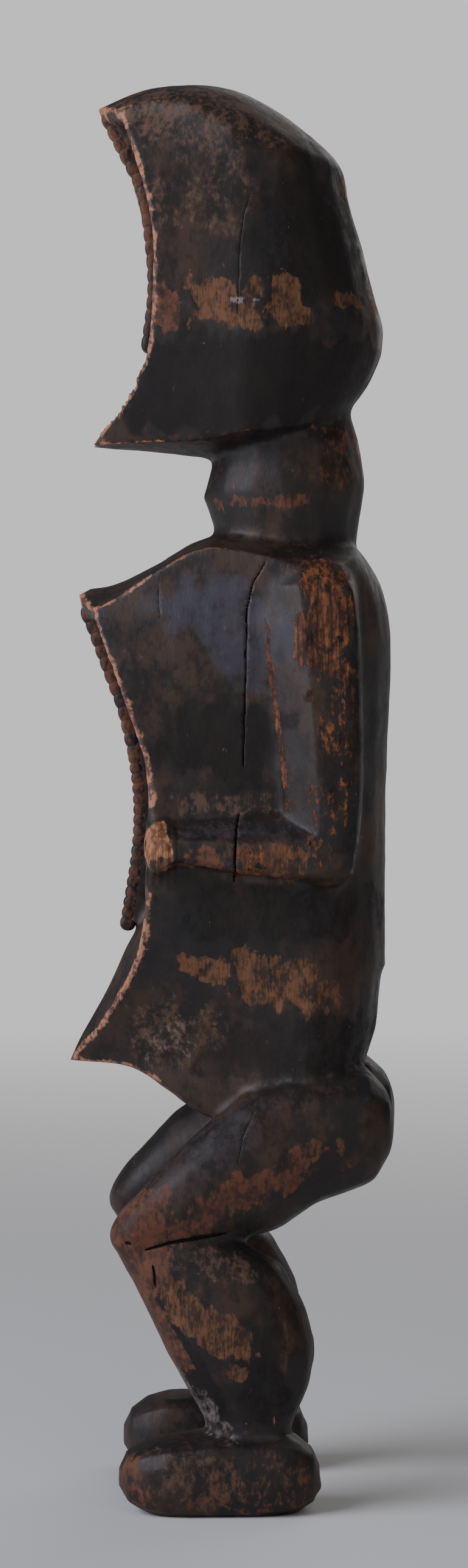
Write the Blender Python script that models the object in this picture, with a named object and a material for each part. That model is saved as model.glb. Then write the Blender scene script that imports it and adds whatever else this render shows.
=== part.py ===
"""Standing ancestor figure with a scooped face and a scooped body, carved from one block of dark wood.

The figure faces -Y, stands on its own two feet on z = 0, and its mid-plane is x = 0.
It is cut the way a carver works: each mass starts as a block whose plan outlines follow its sides, and is
then sawn to its crown, its underside and its scooped front. The limbs, the neck and the notched keels join
the masses, and the soles are sawn flat. The result is one solid.
"""

import math

import bmesh
import bpy
from mathutils import Vector

# Driving sizes, in metres.
FIGURE_HEIGHT = 0.500
HEAD_WIDTH = 0.082
NECK_WIDTH = 0.054
BODY_WIDTH = 0.080
ARM_SPAN = 0.100
HIP_SPACING = 0.044
KNEE_SPACING = 0.074
STANCE_WIDTH = 0.080
THIGH_WIDTH = 0.044
CALF_WIDTH = 0.036
FOOT_WIDTH = 0.037
FOOT_LENGTH = 0.0700
FOOT_HEIGHT = 0.028
KEEL_WIDTH = 0.0075
FACE_HOLLOW = 0.012
BODY_HOLLOW = 0.012
NOTCH_DEPTH = 0.0012
NOTCH_PITCH = 0.0051
RIGHT_KNEE_RISE = 0.0045

# The profiles below are measured in five-hundredths of the height.
UNIT = FIGURE_HEIGHT / 500

WOOD_COLOUR = (0.055, 0.036, 0.027, 1.0)
WOOD_ROUGHNESS = 0.45

# In units: a depth or a width past every side of the figure, and how far above or below it a saw cut goes.
OUTSIDE = 90
CUTTER_RISE = 60

# Depths, in units, between which the blocks are cut out before they are scooped and sawn.
BLOCK_FRONT = -80
BLOCK_BACK = 62

# How far apart the lines of a saw cut over a crown or under a belly are, in units.
SAW_SPACING = 5.5


def smooth(points):
    """A curve through (position, value) points that bends gently and never overshoots between them."""
    places = [p[0] for p in points]
    values = [p[1] for p in points]
    steps = [(values[i + 1] - values[i]) / (places[i + 1] - places[i]) for i in range(len(points) - 1)]
    slopes = [steps[0]]
    for before, after in zip(steps, steps[1:]):
        slopes.append(2 * before * after / (before + after) if before * after > 0 else 0.0)
    slopes.append(steps[-1])

    def value_at(place):
        if place <= places[0]:
            return values[0]
        if place >= places[-1]:
            return values[-1]
        i = max(k for k in range(len(places) - 1) if places[k] <= place)
        span = places[i + 1] - places[i]
        t = (place - places[i]) / span
        return (
            (2 * t**3 - 3 * t**2 + 1) * values[i]
            + (t**3 - 2 * t**2 + t) * span * slopes[i]
            + (3 * t**2 - 2 * t**3) * values[i + 1]
            + (t**3 - t**2) * span * slopes[i + 1]
        )

    return value_at


def blend(low, high, place):
    """0 before low, 1 past high, and a soft rise between them, in whichever direction high lies."""
    t = min(1.0, max(0.0, (place - low) / (high - low)))
    return t * t * (3 - 2 * t)


def stations(low, high, spacing):
    """Evenly spaced places from low to high, no further apart than spacing."""
    count = max(1, math.ceil((high - low) / spacing))
    return [low + (high - low) * i / count for i in range(count + 1)]


def solid(name, rings):
    """A closed solid through rings of equally many points, in units, with a flat face over each end."""
    mesh = bpy.data.meshes.new(name)
    work = bmesh.new()
    rows = [[work.verts.new(Vector(p) * UNIT) for p in ring] for ring in rings]
    around = len(rows[0])
    for lower, upper in zip(rows, rows[1:]):
        for i in range(around):
            j = (i + 1) % around
            work.faces.new((lower[i], lower[j], upper[j], upper[i]))
    work.faces.new(rows[0])
    work.faces.new(rows[-1])
    bmesh.ops.recalc_face_normals(work, faces=work.faces)
    bmesh.ops.triangulate(work, faces=[f for f in work.faces if len(f.verts) > 4])
    work.to_mesh(mesh)
    work.free()
    made = bpy.data.objects.new(name, mesh)
    bpy.context.scene.collection.objects.link(made)
    return made


def sheet_cutter(name, surface, far):
    """A cutter between a curved sheet, a grid of points in units, and the same grid moved to far."""
    rows = len(surface)
    columns = len(surface[0])
    mesh = bpy.data.meshes.new(name)
    work = bmesh.new()
    near_grid = [[work.verts.new(Vector(p) * UNIT) for p in row] for row in surface]
    far_grid = [[work.verts.new(Vector(far(p)) * UNIT) for p in row] for row in surface]
    for i in range(rows - 1):
        for j in range(columns - 1):
            for grid in (near_grid, far_grid):
                work.faces.new((grid[i][j], grid[i][j + 1], grid[i + 1][j + 1], grid[i + 1][j]))
    border = (
        [(0, j) for j in range(columns - 1)]
        + [(i, columns - 1) for i in range(rows - 1)]
        + [(rows - 1, j) for j in range(columns - 1, 0, -1)]
        + [(i, 0) for i in range(rows - 1, 0, -1)]
    )
    for (i, j), (k, m) in zip(border, border[1:] + border[:1]):
        work.faces.new((near_grid[i][j], near_grid[k][m], far_grid[k][m], far_grid[i][j]))
    bmesh.ops.recalc_face_normals(work, faces=work.faces)
    work.to_mesh(mesh)
    work.free()
    made = bpy.data.objects.new(name, mesh)
    bpy.context.scene.collection.objects.link(made)
    return made


def carve(target, tool, operation):
    """Joins tool to target or cuts it away, and removes the tool."""
    modifier = target.modifiers.new(tool.name, "BOOLEAN")
    modifier.operation = operation
    modifier.object = tool
    bpy.context.view_layer.update()
    carved = target.evaluated_get(bpy.context.evaluated_depsgraph_get())
    mesh = bpy.data.meshes.new_from_object(carved)
    target.modifiers.remove(modifier)
    target.data = mesh
    bpy.data.objects.remove(tool)


def mirrored(points):
    """A half outline, from the front mid-plane round to the back, and its mirror image as one ring."""
    inner = [p for p in points if p[0] > 0]
    return points + [(-p[0], *p[1:]) for p in reversed(inner)]


# Flat columns in each side wall of a block.
WALL_COLUMNS = 4
# Flat strips in the round of its back, on each side of the mid-plane.
BACK_STRIPS = 5
# The least half width of a block in front of its scoop.
LEAST_HALF_WIDTH = 0.9


def plan_ring(z, front, back, half_front, half_back, shoulder):
    """One horizontal outline of a block: straight sides that run on past the front edge, and a round back.

    front is where the side meets the scooped front and half_front its half width there. half_back is the
    half width at shoulder, where the back begins to round, and back is how far the back reaches.
    """
    slope = (half_back - half_front) / (shoulder - front)
    side = [(max(LEAST_HALF_WIDTH, half_front + slope * (BLOCK_FRONT - front)), BLOCK_FRONT, z)]
    for column in range(WALL_COLUMNS):
        share = column / WALL_COLUMNS
        side.append((half_front + (half_back - half_front) * share, front + (shoulder - front) * share, z))
    arc = []
    for i in range(BACK_STRIPS):
        angle = math.pi / 2 * i / BACK_STRIPS
        arc.append((half_back * math.cos(angle) ** 0.9, shoulder + (back - shoulder) * math.sin(angle), z))
    return mirrored(side + arc + [(0.0, back, z)])


# Heights at which the head and the body are outlined, closer together where the outline turns quickly.
HEAD_LEVELS = [355, 362, 368, 371, 374, 378, 383, 389, 396, 404, 413, 422, 431, 440, 449, 457, 464, 471,
               477, 482, 485, 488, 492, 498, 505, 515]
BODY_LEVELS = [116, 124, 132, 140, 147, 153, 158, 163, 169, 175, 180, 184.6, 186.4, 192, 198, 205, 213, 223,
               235, 247, 259, 271, 283, 293, 301, 306, 309, 312, 317, 323, 330, 338, 346, 355]

# The head, as (height, value) points and, on its crown and underside, (depth, height) points.
HEAD_RIM = smooth(
    [
        (370, -52), (372, -50.1), (377.5, -43.9), (385.8, -36.9), (400.8, -30.6), (430, -29.1), (440, -29.3),
        (470, -35.8), (490, -42),
    ]
)
HEAD_RIM_WIDTH = smooth(
    [
        (368, 0.03), (386, 0.5), (406, 0.78), (438, 0.92), (455, 0.9), (468, 0.8), (480, 0.62),
        (487, 0.48), (500, 0.4),
    ]
)
HEAD_SIDE_WIDTH = smooth([(366, 0.72), (390, 0.94), (410, 1.0), (440, 1.0), (500, 0.93)])
HEAD_BACK = smooth(
    [
        (362, 30), (374, 36), (390.4, 46.6), (397.3, 50.5), (410, 54.3), (421.5, 51.1), (444.8, 45.4),
        (454.4, 42), (503, 36),
    ]
)
HEAD_CROWN = smooth(
    [
        (-60, 487), (-48, 491.3), (-46.3, 492.3), (-27.9, 499.1), (-15.3, 500), (-3.6, 499), (4.1, 496.7),
        (36.1, 473.8), (40, 467.5), (44, 458),
    ]
)
HEAD_UNDERSIDE = smooth(
    [(-60, 371), (-32.7, 369.3), (-7.5, 367), (10, 368), (28, 373.5), (42, 384), (50, 397)]
)
HEAD_BACK_ROUNDS_AT = 3
# How far the crown falls and the jaw rises towards the sides, and how much of that is a plain slope.
HEAD_CROWN_DROP = 31
HEAD_GABLE = 0.13
HEAD_FRONT_GABLE = 0.33
HEAD_GABLE_STEEPENS = (-14, -46)
HEAD_JAW_RISE = 11
HEAD_JAW_SLOPE = 0.45
# The lip above the face, how far it stands forward, and the heights over which the hollow runs out.
HEAD_LIP = 486
HEAD_LIP_REACH = 6.5
FACE_HOLLOW_BELOW_LIP = 9
FACE_HOLLOW_RUNS_OUT = (368, 390)
# The rim takes up the outer shares of a scooped front. At the chin its inner edge stands forward.
RIM_INNER = 0.94
CHIN_BEVEL = 1.9
CHIN_BEVEL_TOP = (412, 388)
CHIN_BEVEL_FOOT = (370, 382)
# A lip rises from nothing over this height.
LIP_RISE = 3


def head_front(share, z):
    """Depth of the scooped face at a share of the rim's half width: a bevelled rim round a hollow."""
    rim = HEAD_RIM(z)
    hollow = FACE_HOLLOW / UNIT * blend(*FACE_HOLLOW_RUNS_OUT, z)
    hollow *= blend(HEAD_LIP, HEAD_LIP - FACE_HOLLOW_BELOW_LIP, z)
    bevel = CHIN_BEVEL * blend(*CHIN_BEVEL_TOP, z) * blend(*CHIN_BEVEL_FOOT, z)
    return scooped(share, rim, bevel, hollow) - lip(share, z, HEAD_LIP, HEAD_LIP_REACH)


def lip(share, z, height, reach):
    """How far a lip at height stands forward, most on the mid-plane."""
    return reach * blend(height - LIP_RISE, height, z) * (1 - min(1.0, abs(share)) ** 1.4)


def scooped(share, rim, bevel, hollow):
    """Depth across a scooped front: a narrow worn rim on each side and a hollow between them."""
    across = min(1.0, abs(share))
    if across >= RIM_INNER:
        return rim - bevel * (1 - across) / (1 - RIM_INNER)
    return rim - bevel + (hollow + bevel) * (1 - (across / RIM_INNER) ** 2.2)


# Where the lines of a scoop run, as shares of the rim's half width. The last ones lie outside the block.
FRONT_SHARES = [0.19, 0.38, 0.58, 0.78, RIM_INNER, 1.0, 1.8]
# The same for a saw cut over a crown or under a belly, as shares of its half width.
SAW_SHARES = [0.25, 0.5, 0.75, 0.9, 1.0, 1.5]


def both_ways(shares):
    """Shares on both sides of the mid-plane, and the mid-plane between them."""
    return [-s for s in reversed(shares)] + [0.0] + shares


def front_cutter(name, width, rim_width, depth_at, levels):
    """What is scooped from the front of a mass, down to depth_at(share, height)."""
    half = width / UNIT / 2
    surface = []
    for z in levels:
        edge = half * rim_width(z)
        surface.append([(share * edge, depth_at(share, z), z) for share in both_ways(FRONT_SHARES)])
    return sheet_cutter(name, surface, lambda p: (p[0], -OUTSIDE, p[2]))


def saw_cutter(name, half, height_at, side):
    """What is sawn off above (side 1) or below (side -1) a mass, up to height_at(share, depth)."""
    surface = []
    for y in stations(-OUTSIDE, BLOCK_BACK, SAW_SPACING):
        surface.append([(share * half, y, height_at(share, y)) for share in both_ways(SAW_SHARES)])
    level = height_at(0.0, -OUTSIDE) + side * CUTTER_RISE
    return sheet_cutter(name, surface, lambda p: (p[0], p[1], level))


def rounded_edge(share, flat):
    """How far a crown falls towards its edge, from 0 to 1: flat is the share of a plain slope in it."""
    across = min(1.0, abs(share))
    return flat * across + (1 - flat) * (1 - math.sqrt(1 - across**2)) + max(0.0, abs(share) - 1)


def make_head():
    """The head: a flat-sided block with a keeled crown, a hollow face and a pointed chin."""
    half = HEAD_WIDTH / UNIT / 2
    rings = []
    for z in HEAD_LEVELS[1:-1]:
        half_front = half * HEAD_RIM_WIDTH(z)
        half_back = half * HEAD_SIDE_WIDTH(z)
        rings.append(plan_ring(z, HEAD_RIM(z), HEAD_BACK(z), half_front, half_back, HEAD_BACK_ROUNDS_AT))
    head = solid("figure", rings)

    def crown(share, y):
        slope = HEAD_GABLE + (HEAD_FRONT_GABLE - HEAD_GABLE) * blend(*HEAD_GABLE_STEEPENS, y)
        return HEAD_CROWN(y) - HEAD_CROWN_DROP * rounded_edge(share, slope)

    def underside(share, y):
        return HEAD_UNDERSIDE(y) + HEAD_JAW_RISE * rounded_edge(share, HEAD_JAW_SLOPE)

    carve(head, saw_cutter("crown", half, crown, 1), "DIFFERENCE")
    carve(head, saw_cutter("jaw", half, underside, -1), "DIFFERENCE")
    carve(head, front_cutter("face", HEAD_WIDTH, HEAD_RIM_WIDTH, head_front, HEAD_LEVELS), "DIFFERENCE")
    return head


# The body, in the same way.
BODY_RIM = smooth(
    [
        (146, -59), (154, -57.2), (167, -46.5), (174, -42.9), (180, -39.3), (194.3, -33.7), (210, -32),
        (223, -31.8), (244, -30.6), (254.6, -31.2), (272.9, -36.8), (307.3, -49), (320, -52),
    ]
)
BODY_RIM_WIDTH = smooth(
    [
        (146, 0.03), (153, 0.05), (161, 0.27), (180, 0.68), (201, 0.89), (250, 0.93), (275, 0.92),
        (290, 0.88), (300, 0.8), (308, 0.68), (318, 0.58),
    ]
)
BODY_SIDE_WIDTH = smooth(
    [(128, 0.72), (140, 0.85), (160, 0.96), (180, 0.98), (200, 0.95), (223, 0.95), (244, 0.98), (320, 1.08)]
)
BODY_BACK = smooth(
    [
        (120, 36), (150, 46.3), (157, 48.4), (166, 51.3), (184.6, 53), (186.4, 54.3), (235, 54.1),
        (300, 56.4), (313, 55.1), (326.4, 50.6), (336, 42), (350, 36),
    ]
)
BODY_CROWN = smooth(
    [
        (-70, 316), (-57, 317.4), (-53.5, 319.8), (-45.2, 321.2), (-26.8, 329.4), (-10.3, 338.6),
        (-5, 339.5), (20, 339), (44, 336),
    ]
)
BODY_CROWN_DROP = smooth([(-70, 17), (-50, 16), (-38, 12), (-27, 10), (-10, 13), (20, 17), (44, 19)])
BODY_UNDERSIDE = smooth(
    [(-70, 153), (-40, 151), (-21.3, 140.4), (-15, 135), (-5, 131), (15, 129), (35, 130), (56, 140)]
)
BELLY_LINE = smooth([(146, -61), (155.7, -57.2), (180, -43.9), (206, -33)])
BODY_BACK_ROUNDS_AT = 24
# The shoulders are sawn a little wider than the body, which widens towards them.
SHOULDER_SHARE = 1.12
# How much of the fall of the shoulders, and of the rise of the belly, is a plain slope.
SHOULDER_SLOPE = 0.2
BREAST_SLOPE = 0.9
BREAST_TO_SHOULDER = (-20, -50)
BELLY_RISE = 9
BELLY_SLOPE = 0.3
# The lip above the chest, and the heights over which its hollow runs out above and below.
BODY_LIP = 310
BODY_LIP_REACH = 3.6
BODY_HOLLOW_BELOW_LIP = 11
BODY_HOLLOW_RUNS_OUT = (196, 222)
# Where the belly's prow gives way to the hollow.
PROW_ENDS = (194, 206)


def body_front(share, z):
    """Depth of the body's front: a hollow above the belly, and below it a belly like a boat's prow."""
    rim = BODY_RIM(z)
    across = min(1.0, abs(share))
    hollow = BODY_HOLLOW / UNIT * blend(*BODY_HOLLOW_RUNS_OUT, z)
    hollow *= blend(BODY_LIP + 1, BODY_LIP - BODY_HOLLOW_BELOW_LIP, z)
    prow = BELLY_LINE(z) + (rim - BELLY_LINE(z)) * across**1.5
    above = blend(*PROW_ENDS, z)
    front = above * scooped(share, rim, 0.0, hollow) + (1 - above) * prow
    return front - lip(share, z, BODY_LIP, BODY_LIP_REACH)


def make_body():
    """The body: a block with sloping shoulders, a hollow chest and a pointed belly."""
    half = BODY_WIDTH / UNIT / 2
    rings = []
    for z in BODY_LEVELS[1:-1]:
        half_front = half * BODY_RIM_WIDTH(z)
        half_back = half * BODY_SIDE_WIDTH(z)
        rings.append(plan_ring(z, BODY_RIM(z), BODY_BACK(z), half_front, half_back, BODY_BACK_ROUNDS_AT))
    body = solid("body", rings)

    def crown(share, y):
        slope = SHOULDER_SLOPE + (BREAST_SLOPE - SHOULDER_SLOPE) * blend(*BREAST_TO_SHOULDER, y)
        return BODY_CROWN(y) - BODY_CROWN_DROP(y) * rounded_edge(share, slope)

    def underside(share, y):
        return BODY_UNDERSIDE(y) + BELLY_RISE * rounded_edge(share, BELLY_SLOPE)

    carve(body, saw_cutter("shoulders", half * SHOULDER_SHARE, crown, 1), "DIFFERENCE")
    carve(body, saw_cutter("belly", half, underside, -1), "DIFFERENCE")
    carve(body, front_cutter("chest", BODY_WIDTH, BODY_RIM_WIDTH, body_front, BODY_LEVELS), "DIFFERENCE")
    return body


# The neck's rings: depth and height at the front, depth and height at the back, share of the width.
NECK_RINGS = [
    (-3.0, 330.0, 40.0, 326.0, 0.86),
    (-6.3, 339.4, 43.7, 334.0, 0.88),
    (-11.2, 352.8, 47.7, 357.6, 1.0),
    (-7.9, 365.0, 45.3, 373.0, 0.9),
    (-4.5, 376.0, 41.0, 386.0, 0.8),
]
NECK_FACETS = 14


def make_neck():
    """The neck: a faceted ring, widest at a ridge half way up."""
    half = NECK_WIDTH / UNIT / 2
    rings = []
    for front, front_height, back, back_height, share in NECK_RINGS:
        ring = []
        for i in range(NECK_FACETS):
            angle = math.pi * (2 * i + 1) / NECK_FACETS
            along = (1 - math.cos(angle)) / 2
            y = front + (back - front) * along
            z = front_height + (back_height - front_height) * along
            ring.append((half * share * math.sin(angle), y, z))
        rings.append(ring)
    return solid("neck", rings)


def limb(name, cuts, side, squareness=2.4, around=12):
    """A limb through oval cuts.

    A cut has a (depth, height) point on either side of the limb, the distance of its middle from the
    mid-plane, and its half width.
    """
    rings = []
    for (y_a, z_a), (y_b, z_b), middle, half in cuts:
        ring = []
        for i in range(around):
            angle = 2 * math.pi * i / around
            c, s = math.cos(angle), math.sin(angle)
            along = (1 + math.copysign(abs(c) ** (2 / squareness), c)) / 2
            x = side * middle + half * math.copysign(abs(s) ** (2 / squareness), s)
            ring.append((x, y_b + (y_a - y_b) * along, z_b + (z_a - z_b) * along))
        rings.append(ring)
    return solid(name, rings)


# Thigh, from the seat to the knee: an upper and a lower (depth, height) point, and a share of the width.
THIGH_CUTS = [
    ((54.8, 139.0), (55.2, 131.0), 0.30),
    ((52.2, 145.4), (54.6, 122.0), 0.66),
    ((45.8, 151.6), (48.4, 111.2), 0.90),
    ((33.0, 152.0), (39.2, 107.6), 1.00),
    ((18.7, 149.0), (27.6, 103.6), 0.98),
    ((3.9, 143.1), (14.6, 95.0), 0.92),
    ((-9.5, 133.6), (1.0, 92.0), 0.86),
    ((-20.2, 124.1), (-11.0, 90.6), 0.80),
    ((-38.2, 106.0), (-34.0, 88.0), 0.64),
    ((-43.0, 99.4), (-40.5, 88.0), 0.46),
    ((-44.5, 95.4), (-43.9, 91.4), 0.20),
]
# Lower leg, from the knee to the ankle: a shin point, a calf point and a share of the width.
CALF_CUTS = [
    ((-42.8, 93.0), (-26.0, 95.0), 0.56),
    ((-41.0, 86.5), (-2.0, 94.0), 0.76),
    ((-35.4, 76.5), (15.8, 85.2), 0.92),
    ((-29.5, 64.6), (24.4, 69.5), 1.00),
    ((-23.6, 52.4), (27.6, 55.5), 1.00),
    ((-17.7, 42.0), (25.0, 42.5), 0.86),
    ((-13.1, 34.5), (21.2, 34.0), 0.72),
    ((-10.0, 27.5), (18.0, 27.0), 0.66),
    ((-9.0, 19.0), (16.0, 19.0), 0.66),
]


# Depths of the seat and of the kneecap, and heights of the ankle and of the knee, between which a leg bends.
SEAT_TO_KNEE = (40, -44)
KNEE_TO_ANKLE = (90, 30)
# How the right leg differs: its seat stands further back and its thigh is fuller on top.
RIGHT_SEAT_BACK = 3.8
RIGHT_SEAT = (24, 50)
RIGHT_THIGH_SWELL = 3.8
RIGHT_SWELL_BACK = (6, -18)
RIGHT_SWELL_FRONT = (-44, -30)


def raised(point, rise):
    """A (depth, height) point moved up by rise, less towards the seat, the calf and the ankle."""
    y, z = point
    return (y, z + rise * blend(*SEAT_TO_KNEE, y) * (1 - blend(*KNEE_TO_ANKLE, z)))


def make_leg(side):
    """One bent leg: the thigh with its buttock, and the lower leg with its heavy calf."""
    rise = RIGHT_KNEE_RISE / UNIT if side < 0 else 0.0
    hip, knee, foot = (spacing / UNIT / 2 for spacing in (HIP_SPACING, KNEE_SPACING, STANCE_WIDTH))
    thigh_half = THIGH_WIDTH / UNIT / 2
    calf_half = CALF_WIDTH / UNIT / 2
    thigh_cuts = []
    for upper, lower, share in THIGH_CUTS:
        middle = hip + (knee - hip) * blend(*SEAT_TO_KNEE, upper[0])
        if side < 0:
            back = RIGHT_SEAT_BACK * blend(*RIGHT_SEAT, upper[0])
            swell = RIGHT_THIGH_SWELL * blend(*RIGHT_SWELL_BACK, upper[0])
            swell *= blend(*RIGHT_SWELL_FRONT, upper[0])
            upper = (upper[0] + back, upper[1] + swell + 0.3 * back)
            lower = (lower[0] + back, lower[1])
        thigh_cuts.append((raised(upper, rise), raised(lower, rise), middle, thigh_half * share))
    calf_cuts = []
    for shin, calf, share in CALF_CUTS:
        middle = knee + (foot - knee) * blend(*KNEE_TO_ANKLE, shin[1])
        calf_cuts.append((raised(shin, rise), raised(calf, rise), middle, calf_half * share))
    leg = limb(f"thigh_{side}", thigh_cuts, side)
    carve(leg, limb(f"calf_{side}", calf_cuts, side), "UNION")
    return leg


# The foot: the depth of its heel, the height of its toe's and heel's tips, and its cross cuts.
FOOT_HEEL = 29
FOOT_TIP_HEIGHT = 11.3
FOOT_CUTS = 11
# How steeply the foot rounds off, and the sole under its toe.
FOOT_ROUNDING = 0.42
TOE_ROUNDING = 0.5
# How much is left on under the sole until it is sawn flat, and how much lower the toe is than the instep.
SOLE_ALLOWANCE = 2.0
TOE_DROP = 2.3
INSTEP_TO_TOE = (-5, -30)
# The right foot is set back a little and stays thicker towards the toe.
RIGHT_FOOT_BACK = 1.8
RIGHT_TOE_RISE = 2.3


def make_foot(side):
    """One foot: a rounded block, toeing neither in nor out, cut across from the toe to the heel."""
    half = FOOT_WIDTH / UNIT / 2
    middle = STANCE_WIDTH / UNIT / 2
    cuts = []
    for i in range(FOOT_CUTS):
        share = -math.cos(math.pi * (i + 0.5) / FOOT_CUTS)
        full = (1 - share**4) ** FOOT_ROUNDING
        sole = (1 - share**4) ** (TOE_ROUNDING if share < 0 else FOOT_ROUNDING)
        y = FOOT_HEEL - FOOT_LENGTH / UNIT * (1 - share) / 2
        instep = FOOT_HEIGHT / UNIT - TOE_DROP * blend(*INSTEP_TO_TOE, y)
        if side < 0:
            instep += RIGHT_TOE_RISE * blend(*INSTEP_TO_TOE, y)
            y += RIGHT_FOOT_BACK * blend(*INSTEP_TO_TOE, y)
        top = FOOT_TIP_HEIGHT + (instep - FOOT_TIP_HEIGHT) * full
        bottom = FOOT_TIP_HEIGHT - (FOOT_TIP_HEIGHT + SOLE_ALLOWANCE) * sole
        cuts.append(((y, top), (y, bottom), middle, half * full))
    return limb(f"foot_{side}", cuts, side, squareness=3.2, around=14)


# Upper arm: height, depth at its front edge, at its outer arris and at its back, and how far out it stands.
UPPER_ARM_CUTS = [
    (330.0, 20.0, 26.0, 33.0, 0.66),
    (327.0, 13.0, 23.0, 37.5, 0.84),
    (319.0, 9.0, 21.0, 41.0, 0.95),
    (306.0, 9.2, 22.5, 42.5, 0.99),
    (268.0, 14.3, 26.0, 43.4, 1.01),
    (245.0, 16.6, 27.5, 43.2, 1.02),
    (230.0, 17.5, 28.5, 42.0, 1.01),
    (221.0, 19.5, 29.0, 40.0, 0.98),
    (215.5, 24.5, 30.0, 35.5, 0.88),
]
# Forearm: depth, height at its top edge, at its outer arris and at its bottom, and how far out it stands.
FOREARM_CUTS = [
    (40.0, 236.0, 230.0, 220.0, 0.96),
    (28.0, 240.0, 232.5, 217.8, 1.01),
    (14.0, 240.0, 230.3, 218.6, 1.00),
    (0.0, 239.5, 230.0, 220.0, 0.98),
    (-20.5, 238.2, 231.4, 224.0, 0.92),
    (-23.5, 239.4, 232.2, 221.0, 0.93),
    (-28.0, 240.0, 232.5, 219.3, 0.92),
    (-31.0, 239.0, 231.5, 221.5, 0.88),
    (-32.3, 236.0, 229.5, 225.5, 0.82),
]
# How near to the mid-plane the arms and the hands are rooted, and the depth in front of which a hand starts.
ARM_ROOT = 20
HAND_ROOT = 31.5
HAND_BEFORE = -20
# How far in from an arm's outer arris its bevel starts.
ARM_BEVEL = 9


def make_arm(side):
    """One arm in relief, with a bevelled front and top, bent so that the hand takes hold of the rim."""
    reach = ARM_SPAN / UNIT / 2
    upper_rings = []
    for z, front, arris, back, out in UPPER_ARM_CUTS:
        x = reach * out
        bevel = x - ARM_BEVEL
        outline = [(ARM_ROOT, front), (bevel, front), (x, arris), (x, back - 5), (x - 1.6, back - 1.8),
                   (x - 5.5, back), (ARM_ROOT, back)]
        upper_rings.append([(side * a, b, z) for a, b in outline])
    forearm_rings = []
    for y, top, arris, bottom, out in FOREARM_CUTS:
        x = reach * out
        root = HAND_ROOT if y < HAND_BEFORE else ARM_ROOT
        bevel = x - ARM_BEVEL
        outline = [(root, top), (bevel, top), (x, arris), (x, bottom + 2), (x - 2, bottom), (root, bottom)]
        forearm_rings.append([(side * a, y, b) for a, b in outline])
    arm = solid(f"upper_arm_{side}", upper_rings)
    carve(arm, solid(f"forearm_{side}", forearm_rings), "UNION")
    return arm


# Front lines of the notched keels, as (depth, height) points from the top down.
FACE_KEEL = [(-48.0, 489.6), (-43.3, 480.3), (-35.5, 464.9), (-32.9, 455.7), (-30.6, 436.2), (-30.5, 423.6),
             (-32.4, 408.2)]
BODY_KEEL = [(-54.5, 312.0), (-52.4, 307.5), (-44.8, 287.1), (-41.1, 277.1), (-35.4, 244.7), (-36.1, 226.7),
             (-40.0, 201.8)]
# How deep a keel is rooted in the block, and the narrow bevel along each side of its front edge.
KEEL_ROOT = 22
KEEL_BEVEL = 1.2
KEEL_FRONT_SHARE = 0.7


# One tooth: how far along it and how deep below its top, as shares of the pitch and of the notch depth.
TOOTH = [(0.0, 1.0), (0.22, 0.16), (0.5, 0.0), (0.78, 0.16)]
# Below this height the teeth of the body keel are smaller.
SMALL_TEETH_BELOW = 261
SMALL_TEETH = 0.7


def toothed(line):
    """The front edge of a keel along line, as (depth, height) points, with teeth all the way down.

    The notches are cut square to the line, whose run at each place is read between two near points.
    """
    lengths = [0.0]
    for (y_a, z_a), (y_b, z_b) in zip(line, line[1:]):
        lengths.append(lengths[-1] + math.hypot(y_b - y_a, z_b - z_a))
    depth_at = smooth(list(zip(lengths, (p[0] for p in line))))
    height_at = smooth(list(zip(lengths, (p[1] for p in line))))
    edge = []
    start = 0.0
    while start < lengths[-1]:
        size = SMALL_TEETH if height_at(start) < SMALL_TEETH_BELOW else 1.0
        pitch = NOTCH_PITCH / UNIT * size
        for along, below in TOOTH:
            place = start + pitch * along
            if place >= lengths[-1]:
                break
            before, after = place - pitch / 20, place + pitch / 20
            run = Vector((depth_at(after) - depth_at(before), height_at(after) - height_at(before)))
            run.normalize()
            sunk = NOTCH_DEPTH / UNIT * size * below
            edge.append((depth_at(place) - run.y * sunk, height_at(place) + run.x * sunk))
        start += pitch
    edge.append(line[-1])
    return edge


def make_keel(name, line):
    """A plank on the mid-plane with a row of rounded teeth along its front edge."""
    half = KEEL_WIDTH / UNIT / 2
    flat = half * KEEL_FRONT_SHARE
    rings = []
    for y, z in toothed(line):
        rings.append([(-half, y + KEEL_ROOT, z), (-half, y + KEEL_BEVEL, z), (-flat, y, z), (flat, y, z),
                      (half, y + KEEL_BEVEL, z), (half, y + KEEL_ROOT, z)])
    return solid(name, rings)


# Low features of the face: distance from the mid-plane, depth of the front, top and bottom height.
EYE_CUTS = [(8.0, -18.6, 437.2, 435.4), (11.0, -21.0, 439.6, 433.6), (15.5, -23.4, 440.6, 433.2),
            (20.5, -25.4, 439.6, 434.4), (24.0, -26.2, 437.8, 436.2)]
MOUTH_CUTS = [(-8.5, -25.6, 391.4, 389.6), (-5.0, -26.6, 393.2, 387.8), (0.0, -27.2, 393.8, 387.2),
              (5.0, -26.6, 393.2, 387.8), (8.5, -25.6, 391.4, 389.6)]
FEATURE_SWELL = 0.8
FEATURE_ROOT = 9


def make_feature(name, cuts, side):
    """An eye or a mouth: a low almond that swells from the floor of the face."""
    rings = []
    for x, front, top, bottom in cuts:
        middle = (top + bottom) / 2
        edge, root = front + FEATURE_SWELL, front + FEATURE_ROOT
        outline = [(root, top), (edge, top), (front, middle), (edge, bottom), (root, bottom)]
        rings.append([(side * x, y, z) for y, z in outline])
    return solid(name, rings)


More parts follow.
